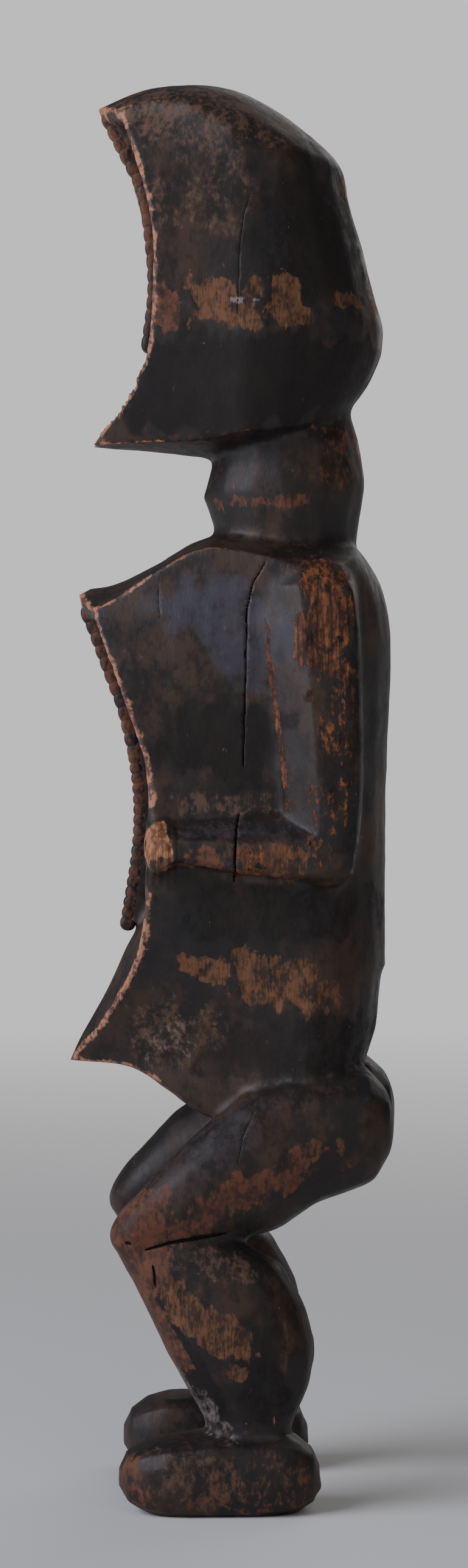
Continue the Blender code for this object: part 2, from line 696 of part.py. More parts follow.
def make_figure():
    """Joins the masses, the limbs and the keels into one solid and saws its soles flat."""
    figure = make_head()
    carve(figure, make_neck(), "UNION")
    carve(figure, make_body(), "UNION")
    for side in (1, -1):
        carve(figure, make_arm(side), "UNION")
        carve(figure, make_leg(side), "UNION")
        carve(figure, make_foot(side), "UNION")
        carve(figure, make_feature(f"eye_{side}", EYE_CUTS, side), "UNION")
    carve(figure, make_feature("mouth", MOUTH_CUTS, 1), "UNION")
    carve(figure, make_keel("face_keel", FACE_KEEL), "UNION")
    carve(figure, make_keel("body_keel", BODY_KEEL), "UNION")
    corners = ((-OUTSIDE, -OUTSIDE), (OUTSIDE, -OUTSIDE), (OUTSIDE, OUTSIDE), (-OUTSIDE, OUTSIDE))
    floor = solid("floor", [[(x, y, z) for x, y in corners] for z in (-CUTTER_RISE, 0)])
    carve(figure, floor, "DIFFERENCE")
    centre_depth(figure)
    return figure


def centre_depth(figure):
    """Moves the figure so that its front and its back are equally far from the origin."""
    depths = [vertex.co.y for vertex in figure.data.vertices]
    middle = (min(depths) + max(depths)) / 2
    for vertex in figure.data.vertices:
        vertex.co.y -= middle


def wood():
    """The dark wood of the figure."""
    material = bpy.data.materials.new("dark_wood")
    material.use_nodes = True
    shader = material.node_tree.nodes["Principled BSDF"]
    shader.inputs["Base Color"].default_value = WOOD_COLOUR
    shader.inputs["Roughness"].default_value = WOOD_ROUGHNESS
    return material


for old in list(bpy.data.objects):
    bpy.data.objects.remove(old)
carving = make_figure()
carving.data.materials.clear()
carving.data.materials.append(wood())
carving.data.shade_smooth()
carving.data.set_sharp_from_angle(angle=math.radians(35))
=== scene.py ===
"""Dresses the standing figure as one old, dark, hand-cut block of wood, and sets it in a plain studio.

The figure faces -Y and its left side faces +X, towards the camera. Lengths are in millimetres until a mesh
is made, and heights are above the soles.
"""

import itertools
import logging
import math
from dataclasses import dataclass, field
from enum import Enum

import bmesh
import bpy
import numpy as np
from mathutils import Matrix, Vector
from mathutils.kdtree import KDTree


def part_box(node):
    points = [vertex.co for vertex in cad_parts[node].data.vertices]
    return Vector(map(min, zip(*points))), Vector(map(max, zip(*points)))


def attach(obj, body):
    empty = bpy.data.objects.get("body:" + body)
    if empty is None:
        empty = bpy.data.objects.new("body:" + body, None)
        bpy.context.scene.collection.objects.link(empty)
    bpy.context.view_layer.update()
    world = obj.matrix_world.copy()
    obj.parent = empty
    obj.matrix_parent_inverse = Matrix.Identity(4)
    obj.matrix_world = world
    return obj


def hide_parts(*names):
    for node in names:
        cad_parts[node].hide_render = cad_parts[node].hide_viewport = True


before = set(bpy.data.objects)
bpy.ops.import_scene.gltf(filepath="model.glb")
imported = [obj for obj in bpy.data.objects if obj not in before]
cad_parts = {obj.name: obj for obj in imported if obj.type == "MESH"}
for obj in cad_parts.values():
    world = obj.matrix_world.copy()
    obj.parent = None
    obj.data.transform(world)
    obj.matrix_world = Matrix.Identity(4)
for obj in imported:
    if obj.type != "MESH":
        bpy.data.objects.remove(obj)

LOG = logging.getLogger("carved_figure")

BODY = "root"
NODE = "figure"
MM = 0.001


class Side(Enum):
    """The figure's own left and right, as the sign of x."""

    LEFT = 1
    RIGHT = -1


class Tone(Enum):
    """What a patch of the surface has become; one tone is instead the painted sheen of the window light, and
    a few patches of other tones are painted light too. The value names the mesh attribute that carries it.
    """

    CHARRED = "charred"
    RUSTY = "rusty"
    RUDDY = "ruddy"
    BARE = "bare"
    HONEY = "honey"
    PALE = "pale"
    MOTTLED = "mottled"
    # Painted sheen: the blue-grey reflection of the window light, painted into the colour.
    PAINTED_SHEEN = "painted_sheen"


Colour = tuple[float, float, float, float]


def paint(red: int, green: int, blue: int) -> Colour:
    """Turns a colour given on a screen's scale into the values that a shader takes.

    Args:
        red: from 0 to 255, and green and blue likewise.
        green: the green part.
        blue: the blue part.

    Returns:
        The linear colour, with full cover.
    """
    shares = (part / 255 for part in (red, green, blue))
    linear = [share / 12.92 if share < 0.04 else ((share + 0.055) / 1.055) ** 2.4 for share in shares]
    return (linear[0], linear[1], linear[2], 1.0)


def soft_step(low: float, high: float, values: np.ndarray) -> np.ndarray:
    """Returns 0 before low, 1 past high and a soft rise between them."""
    t = np.clip((values - low) / (high - low), 0.0, 1.0)
    return t * t * (3 - 2 * t)


def lattice_values(cells: np.ndarray, seed: int) -> np.ndarray:
    """Gives each cell of a lattice its own number.

    Args:
        cells: whole-numbered cells, one a row.
        seed: picks one set of numbers.

    Returns:
        One number from -1 to 1 for each cell.
    """
    mixed = cells[:, 0] * 73856093 ^ cells[:, 1] * 19349663 ^ cells[:, 2] * 83492791 ^ (seed * 2654435 + 97)
    mixed = mixed & 0xFFFFFFFF
    mixed = (mixed ^ (mixed >> 15)) * 2246822519 & 0xFFFFFFFF
    mixed = (mixed ^ (mixed >> 13)) * 3266489917 & 0xFFFFFFFF
    mixed = mixed ^ (mixed >> 16)
    return mixed / 0x7FFFFFFF - 1.0


def soft_noise(points: np.ndarray, cell: tuple[float, float, float], seed: int) -> np.ndarray:
    """Smooth noise that swells and dips once in a cell or so.

    Args:
        points: places, in millimetres.
        cell: the cell's size along x, y and z, in millimetres.
        seed: picks one pattern.

    Returns:
        A number from -1 to 1 for each point.
    """
    places = points / np.array(cell)
    low = np.floor(places).astype(np.int64)
    share = places - low
    share = share * share * (3 - 2 * share)
    total = np.zeros(len(points))
    for corner in itertools.product((0, 1), repeat=3):
        weight = np.prod(np.where(np.array(corner, dtype=bool), share, 1 - share), axis=1)
        total += weight * lattice_values(low + np.array(corner), seed)
    return total


def scoops(points: np.ndarray, cell: tuple[float, float, float], seed: int) -> np.ndarray:
    """Shallow scoops side by side, as a blade leaves them, with low ridges where they meet.

    Args:
        points: places, in millimetres.
        cell: the usual size of a scoop along x, y and z, in millimetres.
        seed: picks one pattern.

    Returns:
        0 at the bottom of a scoop, rising to about 1 on the ridges.
    """
    places = points / np.array(cell)
    low = np.floor(places).astype(np.int64)
    nearest = np.full(len(points), 9.0)
    for step in itertools.product((-1, 0, 1), repeat=3):
        cells = low + np.array(step)
        shifts = np.stack([lattice_values(cells, seed + axis) for axis in range(3)], axis=1)
        centre = shifts * 0.4 + 0.5 + cells
        nearest = np.minimum(nearest, ((places - centre) ** 2).sum(axis=1))
    return np.minimum(nearest * 1.8, 1.0)


def rounded_line(corners: list[tuple[float, float]], steps: int = 8) -> list[tuple[float, float]]:
    """Draws a smooth line through points of a plane.

    Args:
        corners: the points, in order.
        steps: how many short runs replace each run between two of them.

    Returns:
        The points of the smooth line.
    """
    ends = np.array([corners[0], *corners, corners[-1]], dtype=float)
    line = []
    for before, start, end, after in zip(ends, ends[1:], ends[2:], ends[3:]):
        for step in range(steps):
            t = step / steps
            bend = (end - before) * t + (2 * before - 5 * start + 4 * end - after) * t**2
            bend += (3 * start - before - 3 * end + after) * t**3
            line.append(tuple(start + 0.5 * bend))
    return line + [tuple(ends[-1])]


def distance_to_route(points: np.ndarray, route: list[tuple[float, float]]) -> tuple[np.ndarray, np.ndarray]:
    """Finds how far points of a plane are from a broken line.

    Args:
        points: places in the plane, one a row.
        route: the corners of the line.

    Returns:
        The distance of each point, and how far along the line its nearest place lies, from 0 to 1.
    """
    corners = np.array(route, dtype=float)
    lengths = np.linalg.norm(np.diff(corners, axis=0), axis=1)
    starts = np.concatenate([[0.0], np.cumsum(lengths)])
    nearest = np.full(len(points), np.inf)
    along = np.zeros(len(points))
    for index, (start, end) in enumerate(zip(corners, corners[1:])):
        run = end - start
        share = np.clip(((points - start) @ run) / (run @ run), 0.0, 1.0)
        gap = np.linalg.norm(points - (start + share[:, None] * run), axis=1)
        closer = gap < nearest
        nearest = np.where(closer, gap, nearest)
        along = np.where(closer, (starts[index] + share * lengths[index]) / starts[-1], along)
    return nearest, along


def show(name: str, data: bpy.types.ID) -> bpy.types.Object:
    """Returns a new object in the scene that holds a mesh, a lamp or a camera."""
    item = bpy.data.objects.new(name, data)
    bpy.context.scene.collection.objects.link(item)
    return item


def plain_mesh(item: bpy.types.Object) -> bpy.types.Mesh:
    """Returns a new mesh of an object's form as its modifiers leave it."""
    bpy.context.view_layer.update()
    evaluated = item.evaluated_get(bpy.context.evaluated_depsgraph_get())
    return bpy.data.meshes.new_from_object(evaluated)


def modified(mesh: bpy.types.Mesh, kind: str, **options: object) -> bpy.types.Mesh:
    """Changes a copy of a mesh with one modifier.

    Args:
        mesh: the mesh, which stays as it is.
        kind: the modifier's type.
        options: its settings.

    Returns:
        The changed copy.
    """
    holder = show("holder", mesh)
    modifier = holder.modifiers.new(kind, kind)
    for name, value in options.items():
        setattr(modifier, name, value)
    made = plain_mesh(holder)
    bpy.data.objects.remove(holder)
    return made


@dataclass(frozen=True)
class TonePatch:
    """A patch of one tone on one side of the figure, an ellipse with a ragged edge.

    It starts at outer from the mid-plane, and an inward one lies on the wall of a hollow, which faces the
    mid-plane. middle is its (depth, height), reach its half sizes along and across, and lean its turn in
    degrees. Its name picks the noise of its edge.
    """

    tone: Tone
    side: Side
    outer: float
    inward: bool
    name: str
    middle: tuple[float, float]
    reach: tuple[float, float]
    strength: float = 1.0
    ragged: float = 0.3
    lean: float = 0.0

    def cover(self, points: np.ndarray, normals: np.ndarray) -> np.ndarray:
        """Works out how strongly the patch covers each point.

        Args:
            points: places on the surface, in millimetres.
            normals: which way the surface faces there.

        Returns:
            0 where the patch isn't, up to its strength in its middle.
        """
        depth = points[:, 1] - self.middle[0]
        height = points[:, 2] - self.middle[1]
        turn = math.radians(self.lean)
        along = (depth * math.cos(turn) + height * math.sin(turn)) / self.reach[0]
        across = (-depth * math.sin(turn) + height * math.cos(turn)) / self.reach[1]
        gap = (along**4 + across**4) ** 0.25
        seed = 100 + sum(map(ord, self.name))
        gap += self.ragged * soft_noise(points, (7, 6, 8), seed)
        gap += 0.7 * self.ragged * soft_noise(points, (3, 2.4, 4), seed + 7)
        outwards = normals[:, 0] * self.side.value
        facing = soft_step(-0.35, 0.15, -outwards if self.inward else outwards)
        near_side = points[:, 0] * self.side.value > self.outer
        return self.strength * soft_step(1.3, 0.7, gap) * facing * near_side


def worn(tone: Tone, rows: list[tuple], side: Side = Side.LEFT, outer: float = 0.0,
         inward: bool = False) -> list[TonePatch]:
    """Makes the patches of one tone that lie alike; some tones and patches are painted light, not wear.

    Args:
        tone: what the surface has become there, or the light that is painted there.
        rows: each patch's name, middle and reach, and its strength, raggedness and lean if they differ
            from the usual ones.
        side: the side of the figure that they are on.
        outer: how far from the mid-plane they start, in millimetres.
        inward: whether they lie on the wall of a hollow.

    Returns:
        The patches, in the order of the rows.
    """
    return [TonePatch(tone, side, outer, inward, *row) for row in rows]


@dataclass(frozen=True)
class ThinCut:
    """A thin cut along a line. Its width and depth are those of its widest place."""

    name: str
    route: list[tuple[float, float]]
    width: float
    depth: float

    def taper_off(self, flat: np.ndarray, blunt: float) -> np.ndarray:
        """Works out how open the cut is at each point.

        Args:
            flat: the points, as seen along the cut's depth.
            blunt: the share of its width that is left at its ends.

        Returns:
            0 off the cut, up to 1 along its middle.
        """
        gap, along = distance_to_route(flat, self.route)
        taper = np.sqrt(np.clip(4 * along * (1 - along), 0.0, 1.0)) * (1 - blunt) + blunt
        return np.clip(1 - gap / (self.width * taper), 0.0, 1.0)


@dataclass(frozen=True)
class DryingCrack(ThinCut):
    """A crack that ran along the grain as the block dried. Its route has (depth, height) points."""

    side: Side = Side.LEFT
    outer: float = 20.0

    def opening(self, points: np.ndarray, normals: np.ndarray) -> np.ndarray:
        """Returns 0 off the crack, up to 1 along its middle, on surfaces that face its side."""
        wavy = points[:, 1:] + 0.25 * soft_noise(points, (9, 9, 4), 31)[:, None]
        on_side = (points[:, 0] * self.side.value > self.outer) & (normals[:, 0] * self.side.value > 0.15)
        return self.taper_off(wavy, 0.25) * on_side

    def nearby(self, points: np.ndarray, reach: float) -> np.ndarray:
        """Returns which points lie within reach of the crack's line, on its side."""
        gap, _ = distance_to_route(points[:, 1:], self.route)
        return (gap < reach) & (points[:, 0] * self.side.value > self.outer)


@dataclass(frozen=True)
class CarvedSlit(ThinCut):
    """A thin cut in the face, between two eyelids or two lips.

    It is seen from the front, so its route has (distance from the mid-plane, height) points. The face is
    all that lies in front of face_back.
    """

    width: float = 0.6
    depth: float = 0.9
    face_back: float = -14.0

    def opening(self, points: np.ndarray, normals: np.ndarray) -> np.ndarray:
        """Returns 0 off the slit, up to 1 along its middle, on surfaces that face forward."""
        forward = (normals[:, 1] < -0.2) & (points[:, 1] < self.face_back)
        return self.taper_off(points[:, [0, 2]], 0.4) * forward

    def nearby(self, points: np.ndarray, reach: float) -> np.ndarray:
        """Returns which points lie within reach of the slit's line, on the face."""
        gap, _ = distance_to_route(points[:, [0, 2]], self.route)
        return (gap < reach) & (points[:, 1] < self.face_back)


class Skin:
    """The points, faces and neighbours of a mesh, as arrays in millimetres."""

    def __init__(self, mesh: bpy.types.Mesh) -> None:
        """Reads a mesh.

        Args:
            mesh: the mesh, in metres. It is also the one that write changes.
        """
        self.mesh = mesh
        count = len(mesh.vertices)
        flat = np.empty(count * 3)
        mesh.vertices.foreach_get("co", flat)
        self.points = flat.reshape(-1, 3) / MM
        pairs = np.empty(len(mesh.edges) * 2, dtype=np.int32)
        mesh.edges.foreach_get("vertices", pairs)
        self.first, self.second = pairs.reshape(-1, 2).T
        self.degree = np.maximum(np.bincount(np.concatenate([self.first, self.second]), minlength=count), 1)

    def normals(self) -> np.ndarray:
        """Returns which way the surface faces at each point, after writing the points back."""
        self.write()
        flat = np.empty(len(self.points) * 3)
        self.mesh.vertex_normals.foreach_get("vector", flat)
        return flat.reshape(-1, 3)

    def average(self, values: np.ndarray) -> np.ndarray:
        """Returns the mean of the neighbours' values at each point."""
        if values.ndim == 2:
            return np.stack([self.average(column) for column in values.T], axis=1)
        count = len(self.points)
        total = np.bincount(self.first, weights=values[self.second], minlength=count)
        total += np.bincount(self.second, weights=values[self.first], minlength=count)
        return total / self.degree

    def spread(self, values: np.ndarray, rounds: int) -> np.ndarray:
        """Returns values after they have been averaged with their neighbours for some rounds."""
        for _ in range(rounds):
            values = 0.5 * values + 0.5 * self.average(values)
        return values

    def bulge(self, rounds: int) -> np.ndarray:
        """Works out how convex the surface is.

        Args:
            rounds: how widely the measure is spread, which sets the size of what it sees.

        Returns:
            Above 0 on arrises and below 0 in creases, in millimetres of stand-off.
        """
        normals = self.normals()
        level = self.spread(self.points, rounds)
        return ((self.points - level) * normals).sum(axis=1)

    def write(self) -> None:
        """Puts the points back into the mesh."""
        self.mesh.vertices.foreach_set("co", (self.points * MM).ravel())
        self.mesh.update()

    def mark(self, name: str, values: np.ndarray) -> None:
        """Stores a number for each point under a name that materials can read."""
        layer = self.mesh.attributes.new(name, "FLOAT", "POINT")
        layer.data.foreach_set("value", np.ascontiguousarray(values, dtype=np.float32))


@dataclass(frozen=True)
class Keel:
    """The front line of a notched ridge on the mid-plane, from the top down, and the size of its teeth."""

    name: str
    seed: int
    corners: list[tuple[float, float]]
    pitch: float = 4.8
    tooth: tuple[float, float, float] = (8.4, 8.2, 6.8)

    @property
    def line(self) -> list[tuple[float, float]]:
        """The front line as (depth, height) points, close together, in the figure's centred depth."""
        return rounded_line([(depth + CENTRING, height) for depth, height in self.corners])

    def nearby(self, points: np.ndarray, reach: float) -> np.ndarray:
        """Returns which points lie within reach of the ridge's front line."""
        gap, _ = distance_to_route(points[:, 1:], self.line)
        return (gap < reach) & (np.abs(points[:, 0]) < self.tooth[0])


# The solid was moved this far in depth to centre it, after its ridges were drawn.
CENTRING = -0.21

KEELS = (
    Keel("face_ridge_teeth", 3, [
        (-46.2, 486.2), (-43.3, 480.3), (-35.5, 464.9), (-32.9, 455.7), (-30.6, 436.2), (-30.5, 423.6),
        (-32.4, 408.2),
    ]),
    Keel("chest_ridge_teeth", 5, [
        (-53.6, 310.0), (-52.4, 307.5), (-44.8, 287.1), (-41.1, 277.1), (-37.4, 261.8),
    ]),
    Keel(
        "belly_ridge_teeth", 8, [(-37.1, 259.8), (-35.4, 244.7), (-36.1, 226.7), (-40.0, 201.8)],
        pitch=3.6, tooth=(8.4, 6.2, 6.2),
    ),
)

CRACKS = [
    DryingCrack("head_crack", [(5.2, 457.5), (2.4, 449), (0.6, 437.6), (0.1, 425), (-0.2, 411)], 0.22, 0.4),
    DryingCrack("chest_crack", [
        (9.5, 327.5), (5.2, 320.5), (3.2, 311.4), (2.7, 295), (2.2, 274), (1.9, 256),
    ], 0.25, 1.8),
    DryingCrack("forearm_crack", [(0.4, 240.5), (-0.9, 235), (-1.3, 227), (-1.2, 217)], 0.36, 2.2),
    DryingCrack("shoulder_crack", [(-27, 324.5), (-27.2, 316), (-26.8, 308)], 0.16, 0.15),
    DryingCrack("thigh_crack", [(5.4, 137.4), (1.6, 129.6), (-0.7, 120.1)], 0.20, 0.3),
    DryingCrack("knee_slit", [(-29.6, 85.6), (-28.9, 81.5), (-28.7, 77.6)], 0.55, 1.1),
    DryingCrack("knee_fold", [(-32.0, 91.0), (-24.0, 93.2), (-13.6, 95.1), (-4.0, 96.2)], 0.75, 1.1),
    DryingCrack("kneecap_pit", [(-39.0, 93.4), (-36.8, 93.0)], 0.75, 0.9),
    DryingCrack("right_flank_crack", [(12, 300), (10.6, 270), (11.4, 243)], 0.32, 1.4, Side.RIGHT),
    DryingCrack("right_head_crack", [(14, 462), (12.5, 440), (13.4, 418)], 0.28, 1.0, Side.RIGHT),
]

# Where a splinter has left the rims on the left side: depth, height and size.
RIM_NICKS = ((-38.5, 384.0, 2.2), (-48.2, 164.0, 3.4), (-51.5, 160.0, 2.6), (-41.5, 172.5, 2.4))

EYE_LINE = [(9.0, 436.0), (13.0, 436.8), (18.0, 437.0), (23.0, 436.6)]
SLITS = [
    CarvedSlit("left_eye", EYE_LINE),
    CarvedSlit("right_eye", [(-across, height) for across, height in EYE_LINE]),
    CarvedSlit("mouth", [(-7.4, 390.9), (-3.0, 390.3), (3.0, 390.3), (7.4, 390.9)]),
]

PATCHES = [
    *worn(Tone.CHARRED, rows=[
        ("jaw", (4, 391), (50, 17), 1.1),
        ("temple", (26, 442), (22, 26), 0.7),
        ("head_stain", (10.4, 416.5), (2.0, 6.5), 0.9),
        ("chest_low", (-6, 266), (22, 15), 0.85, 0.4),
        # Painted shade: arm_shade darkens the back of the upper arm with the charred colour.
        ("arm_shade", (36, 262), (7, 36), 0.7, 0.4),
        ("belly_low", (6, 157), (18, 12), 0.65, 0.5),
        ("groin", (10, 206), (40, 10), 0.7),
        ("hip", (30, 160), (22, 12), 0.7),
        ("shin", (-18, 54), (4.5, 22), 0.9, 0.3, 28),
        ("calf_inside", (6, 52), (10, 20), 0.7, 0.3, 10),
    ]),
    *worn(Tone.MOTTLED, rows=[
        ("crown_side", (-14, 484), (34, 12)),
        ("brow_side", (-10, 455), (20, 18), 0.55, 0.5),
        ("flank_streaks", (-5, 244.5), (20, 5), 0.8, 0.5),
        ("belly", (-25, 167), (13, 10), 1.0, 0.6, -10),
        ("belly_wide", (-8, 158), (26, 13), 0.58, 0.5, -14),
        ("calf_top", (-8, 86), (20, 5), 0.7, 0.5, -8),
        ("calf_side", (14, 58), (9, 12), 0.5, 0.6),
        ("foot", (-2, 12), (32, 11), 0.7, 0.5),
    ]),
    # Painted sheen: the _film patches paint the blue-grey reflection of the window light into the colour.
    *worn(Tone.PAINTED_SHEEN, rows=[
        ("neck_film", (-1.5, 359), (7, 7), 0.25),
        ("chest_film", (-2, 305), (25, 13), 0.8, 0.5, -38),
        ("arm_film", (16.5, 284), (5, 38), 0.2, 0.3, -4),
        ("forearm_film", (-2, 234.8), (22, 3.0), 0.5),
        ("thigh_film", (-9, 124), (26, 7), 0.5, 0.3, 36),
    ]),
    *worn(Tone.RUDDY, rows=[
        ("neck_ring", (8, 350), (17, 2.2), 0.6, 0.4),
        ("nape", (36, 364), (10, 12), 0.45, 0.55),
        ("thigh_under", (2, 110), (26, 6.5), 0.85, 0.45, 24),
        ("thigh_fleck", (24, 124), (9, 4.0), 0.7, 0.6, 20),
        ("knee", (-34, 97), (11, 11), 1.1, 0.3, 20),
        ("shin_top", (-31, 82), (8, 9), 0.9, 0.3, -60),
        ("shin_band", (-26, 64), (3.4, 20), 0.95, 0.3, 28),
        ("foot_side", (0, 8), (30, 8), 0.42, 0.6),
        ("toe", (-37, 10), (5, 10), 0.7, 0.6),
    ]),
    *worn(Tone.RUSTY, rows=[
        ("back_edge", (39.5, 466), (3.5, 9), 0.5, 0.4, -20),
        ("arm_line", (13.2, 276), (32, 0.9), 0.85, 0.3, -83.2),
    ]),
    *worn(Tone.BARE, rows=[
        ("head_blot", (16.7, 418.5), (5.2, 8.2), 1.25, 0.2),
        ("head_blot_tail", (23.5, 413.7), (3.4, 3.4)),
        ("nape_fleck", (40, 420), (6, 2.2), 0.9, 0.5),
        ("nape_edge", (49, 423), (3, 10), 0.6, 0.4),
        ("loin_left", (5.0, 184.0), (6.5, 9.5), 1.15, 0.35),
        ("loin_middle", (19.5, 182.0), (10.5, 9.0), 1.0, 0.4),
        ("loin_right", (33.0, 178.0), (6.0, 6.5), 0.75, 0.5),
        ("loin_front", (-11, 186.5), (10, 3.6), 0.8, 0.55, -8),
        ("calf_upper", (-8.4, 65), (14.5, 6.4), 1.15, 0.3, -36),
        ("calf_lower", (-0.9, 49.7), (3.4, 2.9), 1.1, 0.3, -20),
        ("calf_front", (-20, 74), (7, 4.0), 0.75, 0.6, -50),
    ]),
    *worn(Tone.PALE, rows=[
        ("head_scrape", (3.2, 418.1), (4.6, 1.1), 1.1, 0.4),
        ("belly_fleck", (-23, 163), (11, 8), 0.34, 0.6),
        ("ankle", (-13, 38), (3.8, 13), 0.5, 0.5, 34),
        ("ankle_front", (-6, 29), (8, 3.0), 0.42, 0.5, -20),
    ]),
    *worn(Tone.CHARRED, side=Side.RIGHT, rows=[
        ("right_jaw", (6, 396), (44, 15), 0.8),
    ]),
    *worn(Tone.MOTTLED, side=Side.RIGHT, rows=[
        ("right_crown", (-8, 478), (32, 14), 0.9),
        ("right_belly", (-12, 162), (30, 12), 0.8),
        ("right_foot", (-4, 12), (32, 12), 0.9),
    ]),
    # Painted sheen: hand_film paints the blue-grey reflection of the window light into the colour.
    *worn(Tone.PAINTED_SHEEN, outer=30, rows=[
        ("hand_film", (-29.0, 231.6), (1.8, 2.2), 0.9),
    ]),
    *worn(Tone.RUDDY, outer=30, rows=[
        ("head_band_front", (-25.0, 415.5), (4.5, 8.5), 0.9, 0.5),
        ("forearm_front", (-11, 225.2), (9.5, 3.8), 0.72),
        ("forearm_worn", (7.5, 224.0), (10.0, 5.8), 0.72),
    ]),
    *worn(Tone.RUDDY, side=Side.RIGHT, rows=[
        ("right_thigh", (2, 114), (28, 7), 0.8, 0.3, 24),
        ("right_knee", (-34, 102), (10, 10), 0.9, 0.3, 20),
    ]),
    *worn(Tone.RUSTY, outer=30, rows=[
        ("upper_arm_top", (30, 306), (8.5, 19), 0.95, 0.4),
        ("upper_arm_low", (33, 270), (6, 24), 0.42, 0.6),
        ("elbow_side", (32, 238), (7, 14), 0.4, 0.6),
        ("forearm_fleck", (6.5, 223.8), (9.5, 5.2), 0.48),
    ]),
    *worn(Tone.BARE, outer=30, rows=[
        ("head_band", (-4.5, 416.5), (14, 7.5), 0.85, 0.5),
        ("forearm_bare", (17.6, 223.6), (5.0, 6.0), 0.8, 0.4),
        ("hand_low", (-26.4, 225.0), (3.6, 3.6), 0.9, 0.5),
    ]),
    *worn(Tone.BARE, side=Side.RIGHT, rows=[
        ("right_loin", (14, 190), (22, 8), 1.0, 0.45, 8),
        ("right_calf", (2, 60), (12, 5), 0.9, 0.3, -40),
    ]),
    *worn(Tone.HONEY, outer=30, rows=[
        ("hand", (-27.4, 231.0), (4.6, 6.0), 0.95, 0.5, 8),
    ]),
    *worn(Tone.RUSTY, side=Side.RIGHT, outer=30, rows=[
        ("right_arm", (30, 290), (8, 26), 0.8),
        ("right_forearm", (6, 225), (18, 5), 0.8),
    ]),
    *worn(Tone.BARE, side=Side.RIGHT, outer=30, rows=[
        ("right_head_band", (4, 430), (20, 9), 0.9),
    ]),
    *worn(Tone.HONEY, side=Side.RIGHT, outer=30, rows=[
        ("right_hand", (-27, 228), (6, 8)),
    ]),
    # Painted light: hollow_wall paints the window-lit inner wall of the front hollow pale.
    *worn(Tone.PALE, side=Side.RIGHT, outer=16, inward=True, rows=[
        ("hollow_wall", (-46, 175), (22, 5), 0.8, 0.3, 65),
    ]),
]


